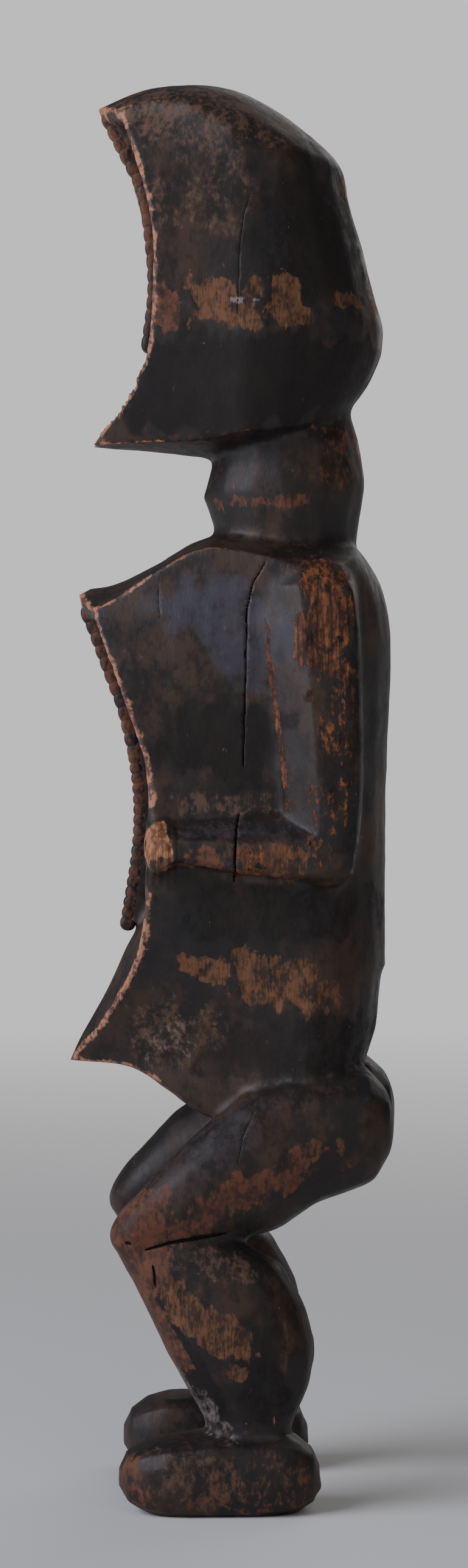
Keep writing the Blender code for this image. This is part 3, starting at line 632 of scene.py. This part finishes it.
@dataclass
class CarvedBlock:
    """The carved block: the solid's own form, cut finer, with its arrises, blade marks, cracks and wear.

    Lengths are in millimetres and angles in degrees. An edge of the solid stays an arris where it is
    sharper than the angle of its place. The box from low to high is the solid's own.
    """

    voxel: float = 1.25
    flat_angle: float = 1.0
    arris_angle: float = 34.0
    round_angle: float = 52.0
    leg_angle: float = 78.0
    foot_angle: float = 24.0
    leg_top: float = 140.0
    foot_top: float = 31.0
    crown_foot: float = 452.0
    brow_depth: float = -36.0
    arris_spacing: float = 0.3
    pin_reach: float = 0.75
    tooth_reach: float = 3.2
    relax_rounds: int = 12
    arris_rounds: int = 8
    fine_reaches: tuple[float, ...] = (2.4, 1.2)
    ridge_trim: float = 1.3
    scoop_size: tuple[float, float, float] = (8.0, 9.0, 15.0)
    scoop_depth: float = 0.24
    foot_scoop_size: tuple[float, float, float] = (15.0, 13.0, 12.0)
    foot_scoop_depth: float = 0.55
    finger_pitch: float = 2.5
    finger_depth: float = 0.35
    chip_depth: float = 0.32
    nick_depth: float = 0.5
    patch_depth: float = 0.3
    lip_reach: float = 2.6
    face_budget: int = 185000
    low: np.ndarray = field(default_factory=lambda: np.zeros(3))
    high: np.ndarray = field(default_factory=lambda: np.zeros(3))

    def build(self, source: bpy.types.Object) -> bpy.types.Object:
        """Makes the block's surface.

        Args:
            source: the solid that it stands for.

        Returns:
            The finished piece, at the origin, without a material.
        """
        solid = self.merged(source.data)
        self.low, self.high = (np.array(corner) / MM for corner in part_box(NODE))
        skin = Skin(modified(solid, "REMESH", mode="VOXEL", voxel_size=self.voxel * MM))
        self.sharpen(skin, solid)
        skin.write()
        skin = Skin(self.refined(skin.mesh))
        self.cut(skin)
        self.wear(skin)
        bpy.data.meshes.remove(solid)
        piece = show("carved_figure", self.thinned(skin.mesh))
        piece.data.shade_smooth()
        return piece

    def thinned(self, mesh: bpy.types.Mesh) -> bpy.types.Mesh:
        """Returns the mesh with fewer triangles where it is flat, within the block's budget and box."""
        triangles = sum(len(face.vertices) - 2 for face in mesh.polygons)
        skin = Skin(modified(mesh, "DECIMATE", ratio=min(1.0, self.face_budget / triangles)))
        skin.points = np.clip(skin.points, self.low, self.high)
        skin.write()
        return skin.mesh

    def merged(self, mesh: bpy.types.Mesh) -> bpy.types.Mesh:
        """Returns a copy of a mesh whose loose triangles are joined and whose flat faces are whole."""
        work = bmesh.new()
        work.from_mesh(mesh)
        bmesh.ops.remove_doubles(work, verts=work.verts, dist=1e-6)
        flat = math.radians(self.flat_angle)
        bmesh.ops.dissolve_limit(work, angle_limit=flat, verts=work.verts, edges=work.edges)
        bmesh.ops.triangulate(work, faces=work.faces)
        joined = bpy.data.meshes.new("joined")
        work.to_mesh(joined)
        work.free()
        return joined

    def arris_points(self, solid: bpy.types.Mesh) -> np.ndarray:
        """Returns points along the solid's convex arrises, close together."""
        work = bmesh.new()
        work.from_mesh(solid)
        found = []
        for edge in work.edges:
            if len(edge.link_faces) != 2 or not edge.is_convex:
                continue
            start, end = (np.array(vert.co) / MM for vert in edge.verts)
            if edge.calc_face_angle(0.0) < math.radians(self.least_angle(start, end)):
                continue
            count = max(2, int(np.linalg.norm(end - start) / self.arris_spacing))
            found += [start + share * (end - start) for share in np.linspace(0.0, 1.0, count)]
        work.free()
        return np.array(found)

    def least_angle(self, start: np.ndarray, end: np.ndarray) -> float:
        """Returns how sharp an edge of the solid must be to stay an arris where it is."""
        lower, upper = sorted((start[2], end[2]))
        if upper < self.foot_top:
            return self.foot_angle
        if upper < self.leg_top:
            return self.leg_angle
        if lower > self.crown_foot and min(start[1], end[1]) > self.brow_depth:
            return self.round_angle
        return self.arris_angle

    def sharpen(self, skin: Skin, solid: bpy.types.Mesh) -> None:
        """Draws the nearest points out to the arrises, and smooths the rest of the surface.

        Args:
            skin: the surface to change.
            solid: the mesh whose arrises count.
        """
        arrises = self.arris_points(solid)
        tree = KDTree(len(arrises))
        for index, point in enumerate(arrises):
            tree.insert(point, index)
        tree.balance()
        pinned = np.zeros(len(skin.points), dtype=bool)
        toothed = np.any([keel.nearby(skin.points, self.tooth_reach) for keel in KEELS], axis=0)
        for index, point in enumerate(skin.points):
            place, _, gap = tree.find(point)
            if gap < self.pin_reach and not toothed[index]:
                pinned[index] = True
                skin.points[index] = place
        free = (~pinned)[:, None]
        for _ in range(self.relax_rounds):
            skin.points = np.where(free, 0.45 * skin.points + 0.55 * skin.average(skin.points), skin.points)
        held = pinned.astype(float)
        for _ in range(self.arris_rounds):
            share = np.maximum(skin.average(held), 1e-6)[:, None]
            along = skin.average(skin.points * held[:, None]) / share
            enough = (held > 0)[:, None] & (share > 0.2)
            skin.points = np.where(enough, 0.6 * skin.points + 0.4 * along, skin.points)
        skin.points = skin.spread(skin.points, 2)

    def refined(self, mesh: bpy.types.Mesh) -> bpy.types.Mesh:
        """Returns the mesh with smaller faces where cracks, slits and the hands need them."""
        for reach in self.fine_reaches:
            work = bmesh.new()
            work.from_mesh(mesh)
            centres = np.array([face.calc_center_median() for face in work.faces]) / MM
            near = [crack.nearby(centres, reach) for crack in CRACKS]
            near += [slit.nearby(centres, reach + 0.6) for slit in SLITS]
            if reach == self.fine_reaches[0]:
                near.append(self.by_hand(centres))
            work.faces.ensure_lookup_table()
            wanted = np.flatnonzero(np.any(near, axis=0))
            edges = {edge for index in wanted for edge in work.faces[index].edges}
            bmesh.ops.subdivide_edges(work, edges=list(edges), cuts=1, use_grid_fill=True)
            work.to_mesh(mesh)
            work.free()
        return mesh

    def by_hand(self, points: np.ndarray) -> np.ndarray:
        """Returns which points lie on either hand."""
        depth, height = points[:, 1], points[:, 2]
        return (np.abs(points[:, 0]) > 33) & (depth < -20) & (height > 216) & (height < 242)

    def cut(self, skin: Skin) -> None:
        """Carves the surface: trims the ridges, and adds scoops, fingers, slits and cracks."""
        normals = skin.normals()
        points = skin.points
        for keel in KEELS:
            gap, _ = distance_to_route(points[:, 1:], keel.line)
            points[:, 1] += soft_step(3.4, 0.8, gap) * (np.abs(points[:, 0]) < 5) * self.ridge_trim
        calm = 1 - 0.8 * soft_step(-24, -30, points[:, 1]) * (np.abs(points[:, 0]) < 36)
        lift = scoops(points, self.scoop_size, 11) - 0.4
        lift += 0.5 * (scoops(points, tuple(0.5 * size for size in self.scoop_size), 23) - 0.4)
        lift += 0.5 * soft_noise(points, (20, 20, 30), 4)
        points += normals * (lift * calm * self.scoop_depth)[:, None]
        on_foot = soft_step(32, 24, points[:, 2]) * soft_step(0.2, 2.5, points[:, 2])
        facets = scoops(points, self.foot_scoop_size, 37) - 0.6
        points += normals * (facets * on_foot * self.foot_scoop_depth)[:, None]
        fingers = np.cos((points[:, 1] + 21.0) * 2 * math.pi / self.finger_pitch)
        inset = self.by_hand(points) * soft_step(0.35, 1.0, fingers) * soft_step(238, 234, points[:, 2])
        outward = (np.abs(normals[:, 0]) > 0.4) | (normals[:, 2] < -0.3)
        points -= normals * (self.finger_depth * inset * outward)[:, None]
        for line in CRACKS + SLITS:
            points -= normals * (line.depth * np.sqrt(line.opening(points, normals)))[:, None]

    def wear(self, skin: Skin) -> None:
        """Chips the arrises, sinks the bare patches and stores the tones for the material, with the painted
        light among them: sheen, the rim highlight and the shadow in the cuts.
        """
        points = skin.points
        normals = skin.normals()
        fine = skin.bulge(4)
        arris = soft_step(0.10, 0.34, fine)
        # Rim band on the front rims, which the material paints as a worn bevel with a painted highlight of
        # the window light.
        rim = soft_step(0.20, 0.60, skin.bulge(16)) * soft_step(-20, -27, points[:, 1]) * (points[:, 2] > 146)
        for line in CRACKS + SLITS:
            lips = line.nearby(points, self.lip_reach)
            arris[lips] = 0.0
            rim[lips] = 0.0
        crease = soft_step(-0.06, -0.30, skin.bulge(10))
        ragged = 0.6 * soft_noise(points, (3.4, 3.4, 5.0), 41) + 0.5 * soft_noise(points, (1.7, 1.7, 2.4), 43)
        chips = arris * soft_step(0.2, 0.8, ragged)
        points -= normals * (self.chip_depth * chips)[:, None]
        for depth, height, size in RIM_NICKS:
            gap = np.hypot(points[:, 1] - depth, points[:, 2] - height)
            bite = soft_step(size, 0.2 * size, gap) * (fine > 0.05) * (points[:, 0] > 2)
            points -= normals * (self.nick_depth * bite)[:, None]
        tones = {tone: np.zeros(len(points)) for tone in Tone}
        for patch in PATCHES:
            tones[patch.tone] = np.maximum(tones[patch.tone], patch.cover(points, normals))
        for tone, values in tones.items():
            skin.mark(tone.value, values)
        flaked = np.maximum(tones[Tone.HONEY], 0.8 * tones[Tone.BARE])
        flaked = np.maximum(flaked, 0.7 * tones[Tone.RUSTY]) + 0.25 * soft_noise(points, (3, 3, 6), 51)
        points -= normals * (self.patch_depth * soft_step(0.45, 0.65, flaked))[:, None]
        skin.mark("arris", skin.spread(np.clip(arris + 0.5 * chips, 0, 1), 1))
        skin.mark("rim", skin.spread(rim, 1))
        skin.mark("crease", skin.spread(crease, 2))
        # Opening of each cut, which the material paints near-black as a painted shadow inside it.
        skin.mark("crack", np.max([line.opening(points, normals) for line in CRACKS + SLITS], axis=0))
        skin.points = np.clip(points, self.low, self.high)
        skin.write()


# What goes into the inputs of a node, by their names or numbers.
Feeds = dict[str | int, object]


class NodeSheet:
    """Short ways to add and join the nodes of a tree."""

    def __init__(self, tree: bpy.types.NodeTree) -> None:
        """Takes the tree to fill."""
        self.tree = tree

    def fill(self, node: bpy.types.Node, feeds: Feeds) -> bpy.types.Node:
        """Feeds some inputs of a node.

        Args:
            node: the node.
            feeds: for each input a socket, a flow or a node to link it to, or else a plain value. A node
                stands for its first output.

        Returns:
            The same node.
        """
        for name, value in feeds.items():
            if isinstance(value, Flow):
                value = value.socket
            elif isinstance(value, bpy.types.Node):
                value = value.outputs[0]
            if isinstance(value, bpy.types.NodeSocket):
                self.tree.links.new(value, node.inputs[name])
            else:
                node.inputs[name].default_value = value
        return node

    def add(self, kind: str, feeds: Feeds | None = None, **options: object) -> bpy.types.Node:
        """Adds a node.

        Args:
            kind: its type.
            feeds: what goes into its inputs, as fill takes it.
            options: its own settings, which are made first.

        Returns:
            The new node.
        """
        node = self.tree.nodes.new(kind)
        for name, value in options.items():
            setattr(node, name, value)
        return self.fill(node, feeds or {})


@dataclass(frozen=True)
class Flow:
    """A number that runs through a sheet's nodes, so that sums on it can be written as sums.

    The other part of a sum is a flow too, or a plain number.
    """

    sheet: NodeSheet
    socket: bpy.types.NodeSocket

    def math(self, operation: str, other: object) -> "Flow":
        """Returns the result of one math node."""
        node = self.sheet.add("ShaderNodeMath", {0: self, 1: other}, operation=operation)
        return Flow(self.sheet, node.outputs[0])

    def __add__(self, other: object) -> "Flow":
        """Returns the sum of both."""
        return self.math("ADD", other)

    def __sub__(self, other: object) -> "Flow":
        """Returns the difference of both."""
        return self.math("SUBTRACT", other)

    def __mul__(self, other: object) -> "Flow":
        """Returns the product of both."""
        return self.math("MULTIPLY", other)

    def __or__(self, other: object) -> "Flow":
        """Returns the larger of both."""
        return self.math("MAXIMUM", other)

    def step(self, low: float, high: float, bottom: float = 0.0, top: float = 1.0) -> "Flow":
        """Returns bottom where the number is under low, top over high, and a soft rise between."""
        feeds = {"Value": self, "From Min": low, "From Max": high, "To Min": bottom, "To Max": top}
        node = self.sheet.add("ShaderNodeMapRange", feeds, interpolation_type="SMOOTHSTEP")
        return Flow(self.sheet, node.outputs["Result"])


class MaterialSheet(NodeSheet):
    """The nodes of one material around its main shader."""

    def __init__(self, material: bpy.types.Material) -> None:
        """Takes the material to fill."""
        material.use_nodes = True
        super().__init__(material.node_tree)
        self.shader = self.tree.nodes["Principled BSDF"]
        self.place = self.add("ShaderNodeTexCoord").outputs["Object"]

    def attribute(self, name: str) -> Flow:
        """Returns the number that the mesh stores under a name."""
        return Flow(self, self.add("ShaderNodeAttribute", attribute_name=name).outputs["Fac"])

    def noise(self, size: tuple[float, float, float], detail: float = 3.0, rough: float = 0.55,
              twist: float = 0.0) -> Flow:
        """Adds a noise.

        Args:
            size: how far apart its swells are along x, y and z, in millimetres.
            detail: how many finer layers it has.
            rough: how strong the finer layers are.
            twist: how much it swirls.

        Returns:
            A number around 0.5.
        """
        scale = tuple(1 / (length * MM) for length in size)
        cells = self.add("ShaderNodeMapping", {"Scale": scale, "Vector": self.place})
        feeds = {"Vector": cells, "Scale": 1.0, "Detail": detail, "Roughness": rough, "Distortion": twist}
        return Flow(self, self.add("ShaderNodeTexNoise", feeds).outputs["Fac"])

    def mix(self, share: Flow, under: object, over: object) -> bpy.types.NodeSocket:
        """Returns the colour under, with over laid on it by share."""
        feeds = {"Factor": share, "A": under, "B": over}
        return self.add("ShaderNodeMix", feeds, data_type="RGBA").outputs["Result"]

    def ragged(self, tone: Tone, grain: Flow, low: float, high: float) -> Flow:
        """Returns the cover of a tone with its soft edge broken up by a noise."""
        return (self.attribute(tone.value) + grain).step(low, high)


@dataclass
class NotchedRidge:
    """The row of rounded teeth along the front of a ridge, made by geometry nodes on its front line.

    A tooth is sunk into the ridge by a share of its depth, and its size varies from smallest to largest.
    """

    keel: Keel
    sunk: float = 0.39
    rounding: int = 3
    smallest: tuple[float, float, float] = (0.96, 0.94, 0.94)
    largest: tuple[float, float, float] = (1.0, 1.0, 1.04)

    def build(self, material: bpy.types.Material) -> bpy.types.Object:
        """Makes the row of teeth.

        Args:
            material: the finish of the teeth.

        Returns:
            The row as one plain mesh object at the origin.
        """
        mesh = bpy.data.meshes.new(self.keel.name)
        corners = [(0.0, y * MM, z * MM) for y, z in reversed(self.keel.line)]
        mesh.from_pydata(corners, [(i, i + 1) for i in range(len(corners) - 1)], [])
        piece = show(self.keel.name, mesh)
        inputs = self.inputs(material)
        tree = self.tree(inputs)
        modifier = piece.modifiers.new("Teeth", "NODES")
        modifier.node_group = tree
        for name, (_, value) in inputs.items():
            modifier[tree.interface.items_tree[name].identifier] = value
        made = plain_mesh(piece)
        piece.modifiers.clear()
        piece.data = made
        bpy.data.node_groups.remove(tree)
        made.materials.clear()
        made.materials.append(material)
        made.shade_smooth()
        self.mark(made)
        return piece

    def inputs(self, material: bpy.types.Material) -> dict[str, tuple[str, object]]:
        """Returns the kind and the value of each named input of the tree."""
        lengths = [math.dist(a, b) for a, b in zip(self.keel.line, self.keel.line[1:])]
        width, length, depth = self.keel.tooth
        return {
            "Teeth": ("Int", max(2, round(sum(lengths) / self.keel.pitch) + 1)),
            "Width": ("Float", width * MM),
            "Length": ("Float", length * MM),
            "Depth": ("Float", depth * MM),
            "Seed": ("Int", self.keel.seed),
            "Wood": ("Material", material),
        }

    def tree(self, inputs: dict[str, tuple[str, object]]) -> bpy.types.NodeTree:
        """Builds the node tree: the line, evenly spaced places on it, and one rounded tooth at each.

        Args:
            inputs: the kind and the value of each input that it takes besides the line.

        Returns:
            The tree, with its named inputs.
        """
        tree = bpy.data.node_groups.new("tooth_row", "GeometryNodeTree")
        tree.interface.new_socket("Line", in_out="INPUT", socket_type="NodeSocketGeometry")
        for name, (kind, _) in inputs.items():
            tree.interface.new_socket(name, in_out="INPUT", socket_type=f"NodeSocket{kind}")
        tree.interface.new_socket("Row", in_out="OUTPUT", socket_type="NodeSocketGeometry")
        sheet = NodeSheet(tree)
        given = sheet.add("NodeGroupInput").outputs
        curve = sheet.add("GeometryNodeMeshToCurve", {"Mesh": given["Line"]})
        spaced = sheet.add("GeometryNodeResampleCurve", {"Curve": curve, "Count": given["Teeth"]})
        sides = {"X": given["Width"], "Y": given["Depth"], "Z": given["Length"]}
        size = sheet.add("ShaderNodeCombineXYZ", sides)
        cuts = {"Vertices X": 4, "Vertices Y": 2, "Vertices Z": 2}
        block = sheet.add("GeometryNodeMeshCube", {"Size": size, **cuts})
        rounded = sheet.add("GeometryNodeSubdivisionSurface", {"Mesh": block, "Level": self.rounding})
        offset = sheet.add("ShaderNodeCombineXYZ", {"Y": Flow(sheet, given["Depth"]) * self.sunk})
        moved = sheet.add("GeometryNodeSetPosition", {"Geometry": rounded, "Offset": offset})
        tangent = {"Vector": sheet.add("GeometryNodeInputTangent")}
        aligned = sheet.add("FunctionNodeAlignRotationToVector", tangent, axis="Z", pivot_axis="X")
        limits = {"Min": self.smallest, "Max": self.largest, "Seed": given["Seed"]}
        scale = sheet.add("FunctionNodeRandomValue", limits, data_type="FLOAT_VECTOR")
        turned = {"Rotation": aligned, "Scale": scale}
        placed = sheet.add("GeometryNodeInstanceOnPoints", {"Points": spaced, "Instance": moved, **turned})
        real = sheet.add("GeometryNodeRealizeInstances", {"Geometry": placed})
        dressed = sheet.add("GeometryNodeSetMaterial", {"Geometry": real, "Material": given["Wood"]})
        sheet.add("NodeGroupOutput", {"Row": dressed})
        return tree

    def mark(self, mesh: bpy.types.Mesh) -> None:
        """Stores the wear and painted light that the wood's material reads: worn tops with a painted
        highlight, over red-brown with a little of the charred tone all over.
        """
        skin = Skin(mesh)
        gap, _ = distance_to_route(skin.points[:, 1:], self.keel.line)
        worn_top = soft_step(1.1, 0.2, gap) * (0.30 + 0.35 * soft_noise(skin.points, (4, 4, 9), 61))
        zero = np.zeros(len(skin.points))
        shares = {Tone.RUDDY: 0.62, Tone.CHARRED: 0.25}
        for tone in Tone:
            skin.mark(tone.value, zero + shares.get(tone, 0.0))
        skin.mark("arris", np.clip(worn_top, 0, 1))
        # Rim band on the teeth tops: a worn bevel with a painted highlight.
        skin.mark("rim", 0.5 * np.clip(worn_top, 0, 1))
        skin.mark("crease", zero)
        skin.mark("crack", zero)


@dataclass(frozen=True)
class PatinatedWood:
    """Old dark wood: near-black handled patina over red-brown, worn to bare grain in places, with painted
    sheen, a painted highlight on the front rims and painted shadow in the cuts.
    """

    name: str = "patinated_wood"
    black: Colour = paint(21, 16, 14)
    ink: Colour = paint(32, 32, 36)
    dark: Colour = paint(36, 30, 28)
    brown: Colour = paint(64, 48, 39)
    mottle_warm: Colour = paint(100, 75, 60)
    mottle_dark: Colour = paint(46, 38, 35)
    # painted sheen: the blue-grey reflection of the window light
    painted_sheen: Colour = paint(58, 58, 69)
    rust: Colour = paint(142, 84, 48)
    deep_rust: Colour = paint(52, 30, 22)
    ruddy: Colour = paint(112, 70, 52)
    deep_ruddy: Colour = paint(62, 42, 34)
    bare: Colour = paint(116, 80, 56)
    bare_dark: Colour = paint(56, 38, 29)
    honey: Colour = paint(178, 126, 90)
    honey_dark: Colour = paint(110, 70, 46)
    arris: Colour = paint(150, 98, 66)
    # rim and rim_dusk: worn bevel colour with a painted highlight of the window light on the front rims
    rim: Colour = paint(184, 128, 98)
    rim_dusk: Colour = paint(88, 64, 58)
    dust: Colour = paint(98, 88, 84)
    pale: Colour = paint(142, 130, 130)
    # painted shadow inside cracks, slits and folds
    hollow: Colour = paint(6, 5, 5)

    def material(self) -> bpy.types.Material:
        """Builds the finish.

        Returns:
            The material, which reads Object coordinates and the surface's stored wear and painted light.
        """
        material = bpy.data.materials.new(self.name)
        sheet = MaterialSheet(material)
        clouds = sheet.noise((22, 22, 26), detail=4, rough=0.6)
        blotch = sheet.noise((6.0, 6.0, 7.5), detail=5, rough=0.65)
        specks = sheet.noise((1.8, 1.8, 2.8), detail=4, rough=0.65)
        fibres = sheet.noise((0.7, 0.7, 7.0), detail=3, rough=0.6, twist=0.3)
        streaks = sheet.noise((2.2, 2.2, 20.0), detail=5, rough=0.6, twist=0.5)
        spread, lines, grit = blotch - 0.5, streaks - 0.5, specks - 0.5
        broken = spread * 1.2 + grit * 0.8
        uneven = broken + (lines * 0.55 + grit * 0.6)
        shade = spread + grit * 0.8

        mottled = sheet.ragged(Tone.MOTTLED, uneven, 0.42, 1.0)
        charred = sheet.ragged(Tone.CHARRED, broken, 0.25, 0.85)
        # Painted sheen: where the blue-grey reflection of the window light is painted.
        painted_sheen = sheet.ragged(Tone.PAINTED_SHEEN, broken, 0.20, 1.10)
        ruddy = sheet.ragged(Tone.RUDDY, uneven, 0.34, 0.74)
        rusty = sheet.ragged(Tone.RUSTY, uneven, 0.34, 0.66)
        bare = sheet.ragged(Tone.BARE, uneven, 0.36, 0.74)
        honey = sheet.ragged(Tone.HONEY, uneven, 0.40, 0.66)
        pale = sheet.ragged(Tone.PALE, uneven, 0.30, 0.90)
        rubbed = (sheet.attribute("arris") + spread * 1.6).step(0.42, 0.85)
        # Rim band: a worn bevel with a painted highlight of the window light.
        bead = (sheet.attribute("rim") + broken * 0.9).step(0.34, 0.70)
        dusty = sheet.attribute("crease").step(0.2, 0.9) * clouds.step(0.48, 0.62)

        flecks = sheet.mix((spread + grit * 0.9).step(-0.12, 0.16), self.mottle_dark, self.mottle_warm)
        clay = sheet.mix(shade.step(-0.16, 0.18), self.deep_ruddy, self.ruddy)
        rust = sheet.mix((streaks + grit * 0.6).step(0.40, 0.74), self.deep_rust, self.rust)
        rust = sheet.mix(blotch.step(0.52, 0.66), rust, self.black)
        grain = (shade + (fibres - 0.5) * 0.45).step(-0.17, 0.17)
        # Worn bevel colour with a painted highlight of the window light.
        rim_wear_and_highlight = sheet.mix((grit + spread).step(-0.08, 0.10), self.rim_dusk, self.rim)
        layers = (
            (mottled * 0.8, flecks),
            (charred * 0.85, self.black),
            # painted sheen of the window light
            (painted_sheen * 0.85, self.painted_sheen),
            (ruddy * 0.9, clay),
            (rusty, rust),
            (bare * 0.95, sheet.mix(grain, self.bare_dark, self.bare)),
            (honey, sheet.mix(grain, self.honey_dark, self.honey)),
            (pale * 0.75, self.pale),
            (rubbed * 0.85, self.arris),
            # worn bevel with a painted highlight on the front rims
            (bead * 0.85, rim_wear_and_highlight),
            (dusty * 0.35, self.dust),
            # Painted shadow: cracks, slits and folds painted near-black.
            (sheet.attribute("crack").step(0.05, 0.5), self.hollow),
        )
        colour = self.patina(sheet, clouds, blotch, specks)
        for share, over in layers:
            colour = sheet.mix(share, colour, over)

        matt = bare | honey | rusty * 0.7 | ruddy * 0.6 | charred * 0.6
        gloss = (specks + spread).step(0.3, 0.75, 0.45, 0.60) + matt * 0.24
        raw = bare | honey
        hatch = fibres * (raw * 0.9 + 0.25)
        relief = specks * 0.5 + blotch * 0.6 + hatch + streaks * (rusty * 1.6) - raw * 0.55
        bump = sheet.add("ShaderNodeBump", {"Strength": 0.55, "Distance": 0.35 * MM, "Height": relief})
        sheet.fill(sheet.shader, {
            "Base Color": colour,
            "Roughness": gloss,
            "Specular IOR Level": 0.4,
            "IOR": 1.46,
            "Normal": bump,
        })
        return material

    def patina(self, sheet: MaterialSheet, clouds: Flow, blotch: Flow, specks: Flow) -> bpy.types.NodeSocket:
        """Lays the handled surface: dark, with blue-black and brown clouds.

        Args:
            sheet: the material's nodes.
            clouds: the wide noise.
            blotch: the middle noise.
            specks: the fine noise.

        Returns:
            The colour of the surface before any wear.
        """
        mottle = clouds * 0.6 + blotch * 0.5 + specks * 0.25
        colour = sheet.mix(mottle.step(0.60, 0.77), self.dark, self.brown)
        cold = sheet.noise((30, 30, 34), detail=4, rough=0.6, twist=0.5)
        return sheet.mix(cold.step(0.48, 0.62, 0.0, 0.6), colour, self.ink)


# What the camera sees behind the figure, and what the floor fades into far away.
BACKDROP: Colour = (0.76, 0.76, 0.77, 1.0)


@dataclass(frozen=True)
class PaleFloor:
    """The plain, matt floor, which turns as bright as the backdrop far off. Lengths in metres."""

    name: str = "pale_floor"
    colour: Colour = (0.80, 0.80, 0.80, 1.0)
    unlit: Colour = (0.0, 0.0, 0.0, 1.0)
    reach: float = 9.0
    fades_from: float = 0.45
    fades_to: float = 2.6

    def material(self) -> bpy.types.Material:
        """Returns a matt, pale material that fades into the backdrop far from the figure."""
        material = bpy.data.materials.new(self.name)
        sheet = MaterialSheet(material)
        radius = sheet.add("ShaderNodeVectorMath", {0: sheet.place}, operation="LENGTH")
        far = Flow(sheet, radius.outputs["Value"]).step(self.fades_from, self.fades_to)
        sheet.fill(sheet.shader, {
            "Base Color": sheet.mix(far, self.colour, self.unlit),
            "Emission Color": BACKDROP,
            "Emission Strength": far,
            "Roughness": 1.0,
            "Specular IOR Level": 0.0,
        })
        return material

    def build(self) -> None:
        """Lays the floor under the soles."""
        reach = self.reach
        corners = [(-reach, -reach, 0.0), (reach, -reach, 0.0), (reach, reach, 0.0), (-reach, reach, 0.0)]
        mesh = bpy.data.meshes.new("floor")
        mesh.from_pydata(corners, [], [(0, 1, 2, 3)])
        mesh.materials.append(self.material())
        show("floor", mesh)


@dataclass(frozen=True)
class SoftLamp:
    """One large soft lamp: where it is, how wide, how strong, what colour, and what it points at."""

    name: str
    place: tuple[float, float, float]
    size: float
    power: float
    colour: tuple[float, float, float]
    aim: tuple[float, float, float] = (0.0, 0.0, 0.25)

    def build(self) -> None:
        """Makes the lamp and turns it to face its aim."""
        light = bpy.data.lights.new(self.name, "AREA")
        light.shape = "DISK"
        light.size = self.size
        light.energy = self.power
        light.color = self.colour
        lamp = show(self.name, light)
        lamp.location = self.place
        facing = Vector(self.aim) - Vector(self.place)
        lamp.rotation_euler = facing.to_track_quat("-Z", "Y").to_euler()
        lamp.visible_camera = False


@dataclass
class Studio:
    """The plain pale floor, the soft light and the camera. Lengths in metres, angles in degrees."""

    camera_distance: float = 1.30
    camera_height: float = 0.2508
    camera_turn: float = 2.0
    sensor: float = 36.0
    frame_height: int = 2576
    focal_pixels: float = 5988.0
    room_light: float = 0.12
    lamps: tuple[SoftLamp, ...] = (
        SoftLamp("window_light", (0.75, -1.45, 1.05), 1.5, 33.0, (0.86, 0.88, 1.0)),
        SoftLamp("fill_light", (1.7, 0.6, 0.9), 1.6, 4.5, (1.0, 0.96, 0.90)),
        SoftLamp("back_light", (-1.5, 0.8, 1.2), 1.6, 8.0, (1.0, 0.98, 0.96)),
    )

    def build(self) -> None:
        """Makes the floor, the world, the lamps and the camera."""
        PaleFloor().build()
        self.world()
        for lamp in self.lamps:
            lamp.build()
        self.camera()

    def world(self) -> None:
        """Sets a pale backdrop that gives only a little light of its own."""
        world = bpy.data.worlds.new("studio")
        bpy.context.scene.world = world
        world.use_nodes = True
        sheet = NodeSheet(world.node_tree)
        seen = sheet.fill(sheet.tree.nodes["Background"], {"Color": BACKDROP})
        lit = sheet.add("ShaderNodeBackground", {"Color": BACKDROP, "Strength": self.room_light})
        path = sheet.add("ShaderNodeLightPath")
        either = sheet.add("ShaderNodeMixShader", {"Fac": path.outputs["Is Camera Ray"], 1: lit, 2: seen})
        sheet.fill(sheet.tree.nodes["World Output"], {"Surface": either})

    def camera(self) -> None:
        """Places the camera level, beside the figure and turned a little towards its front."""
        turn = math.radians(self.camera_turn)
        data = bpy.data.cameras.new("camera")
        data.sensor_fit = "VERTICAL"
        data.sensor_height = self.sensor
        data.lens = self.focal_pixels / self.frame_height * self.sensor
        camera = show("camera", data)
        camera.location = (
            self.camera_distance * math.cos(turn),
            -self.camera_distance * math.sin(turn),
            self.camera_height,
        )
        camera.rotation_euler = (math.pi / 2, 0.0, math.pi / 2 - turn)
        bpy.context.scene.camera = camera


def settle(piece: bpy.types.Object, replaced: bool = False) -> None:
    """Ties a piece to the frame.

    Args:
        piece: the finished piece, at the origin.
        replaced: whether it stands for the whole solid.
    """
    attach(piece, BODY)
    if replaced:
        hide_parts(NODE)
    LOG.info("%s: %d vertices, %d faces", piece.name, len(piece.data.vertices), len(piece.data.polygons))


def main() -> None:
    """Builds the studio, the carved block and its teeth in order."""
    logging.basicConfig(level=logging.INFO, format="%(name)s %(message)s")
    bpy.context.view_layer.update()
    Studio().build()
    wood = PatinatedWood().material()
    block = CarvedBlock().build(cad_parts[NODE])
    block.data.materials.clear()
    block.data.materials.append(wood)
    settle(block, replaced=True)
    for keel in KEELS:
        settle(NotchedRidge(keel).build(wood))


if __name__ == "__main__":
    main()
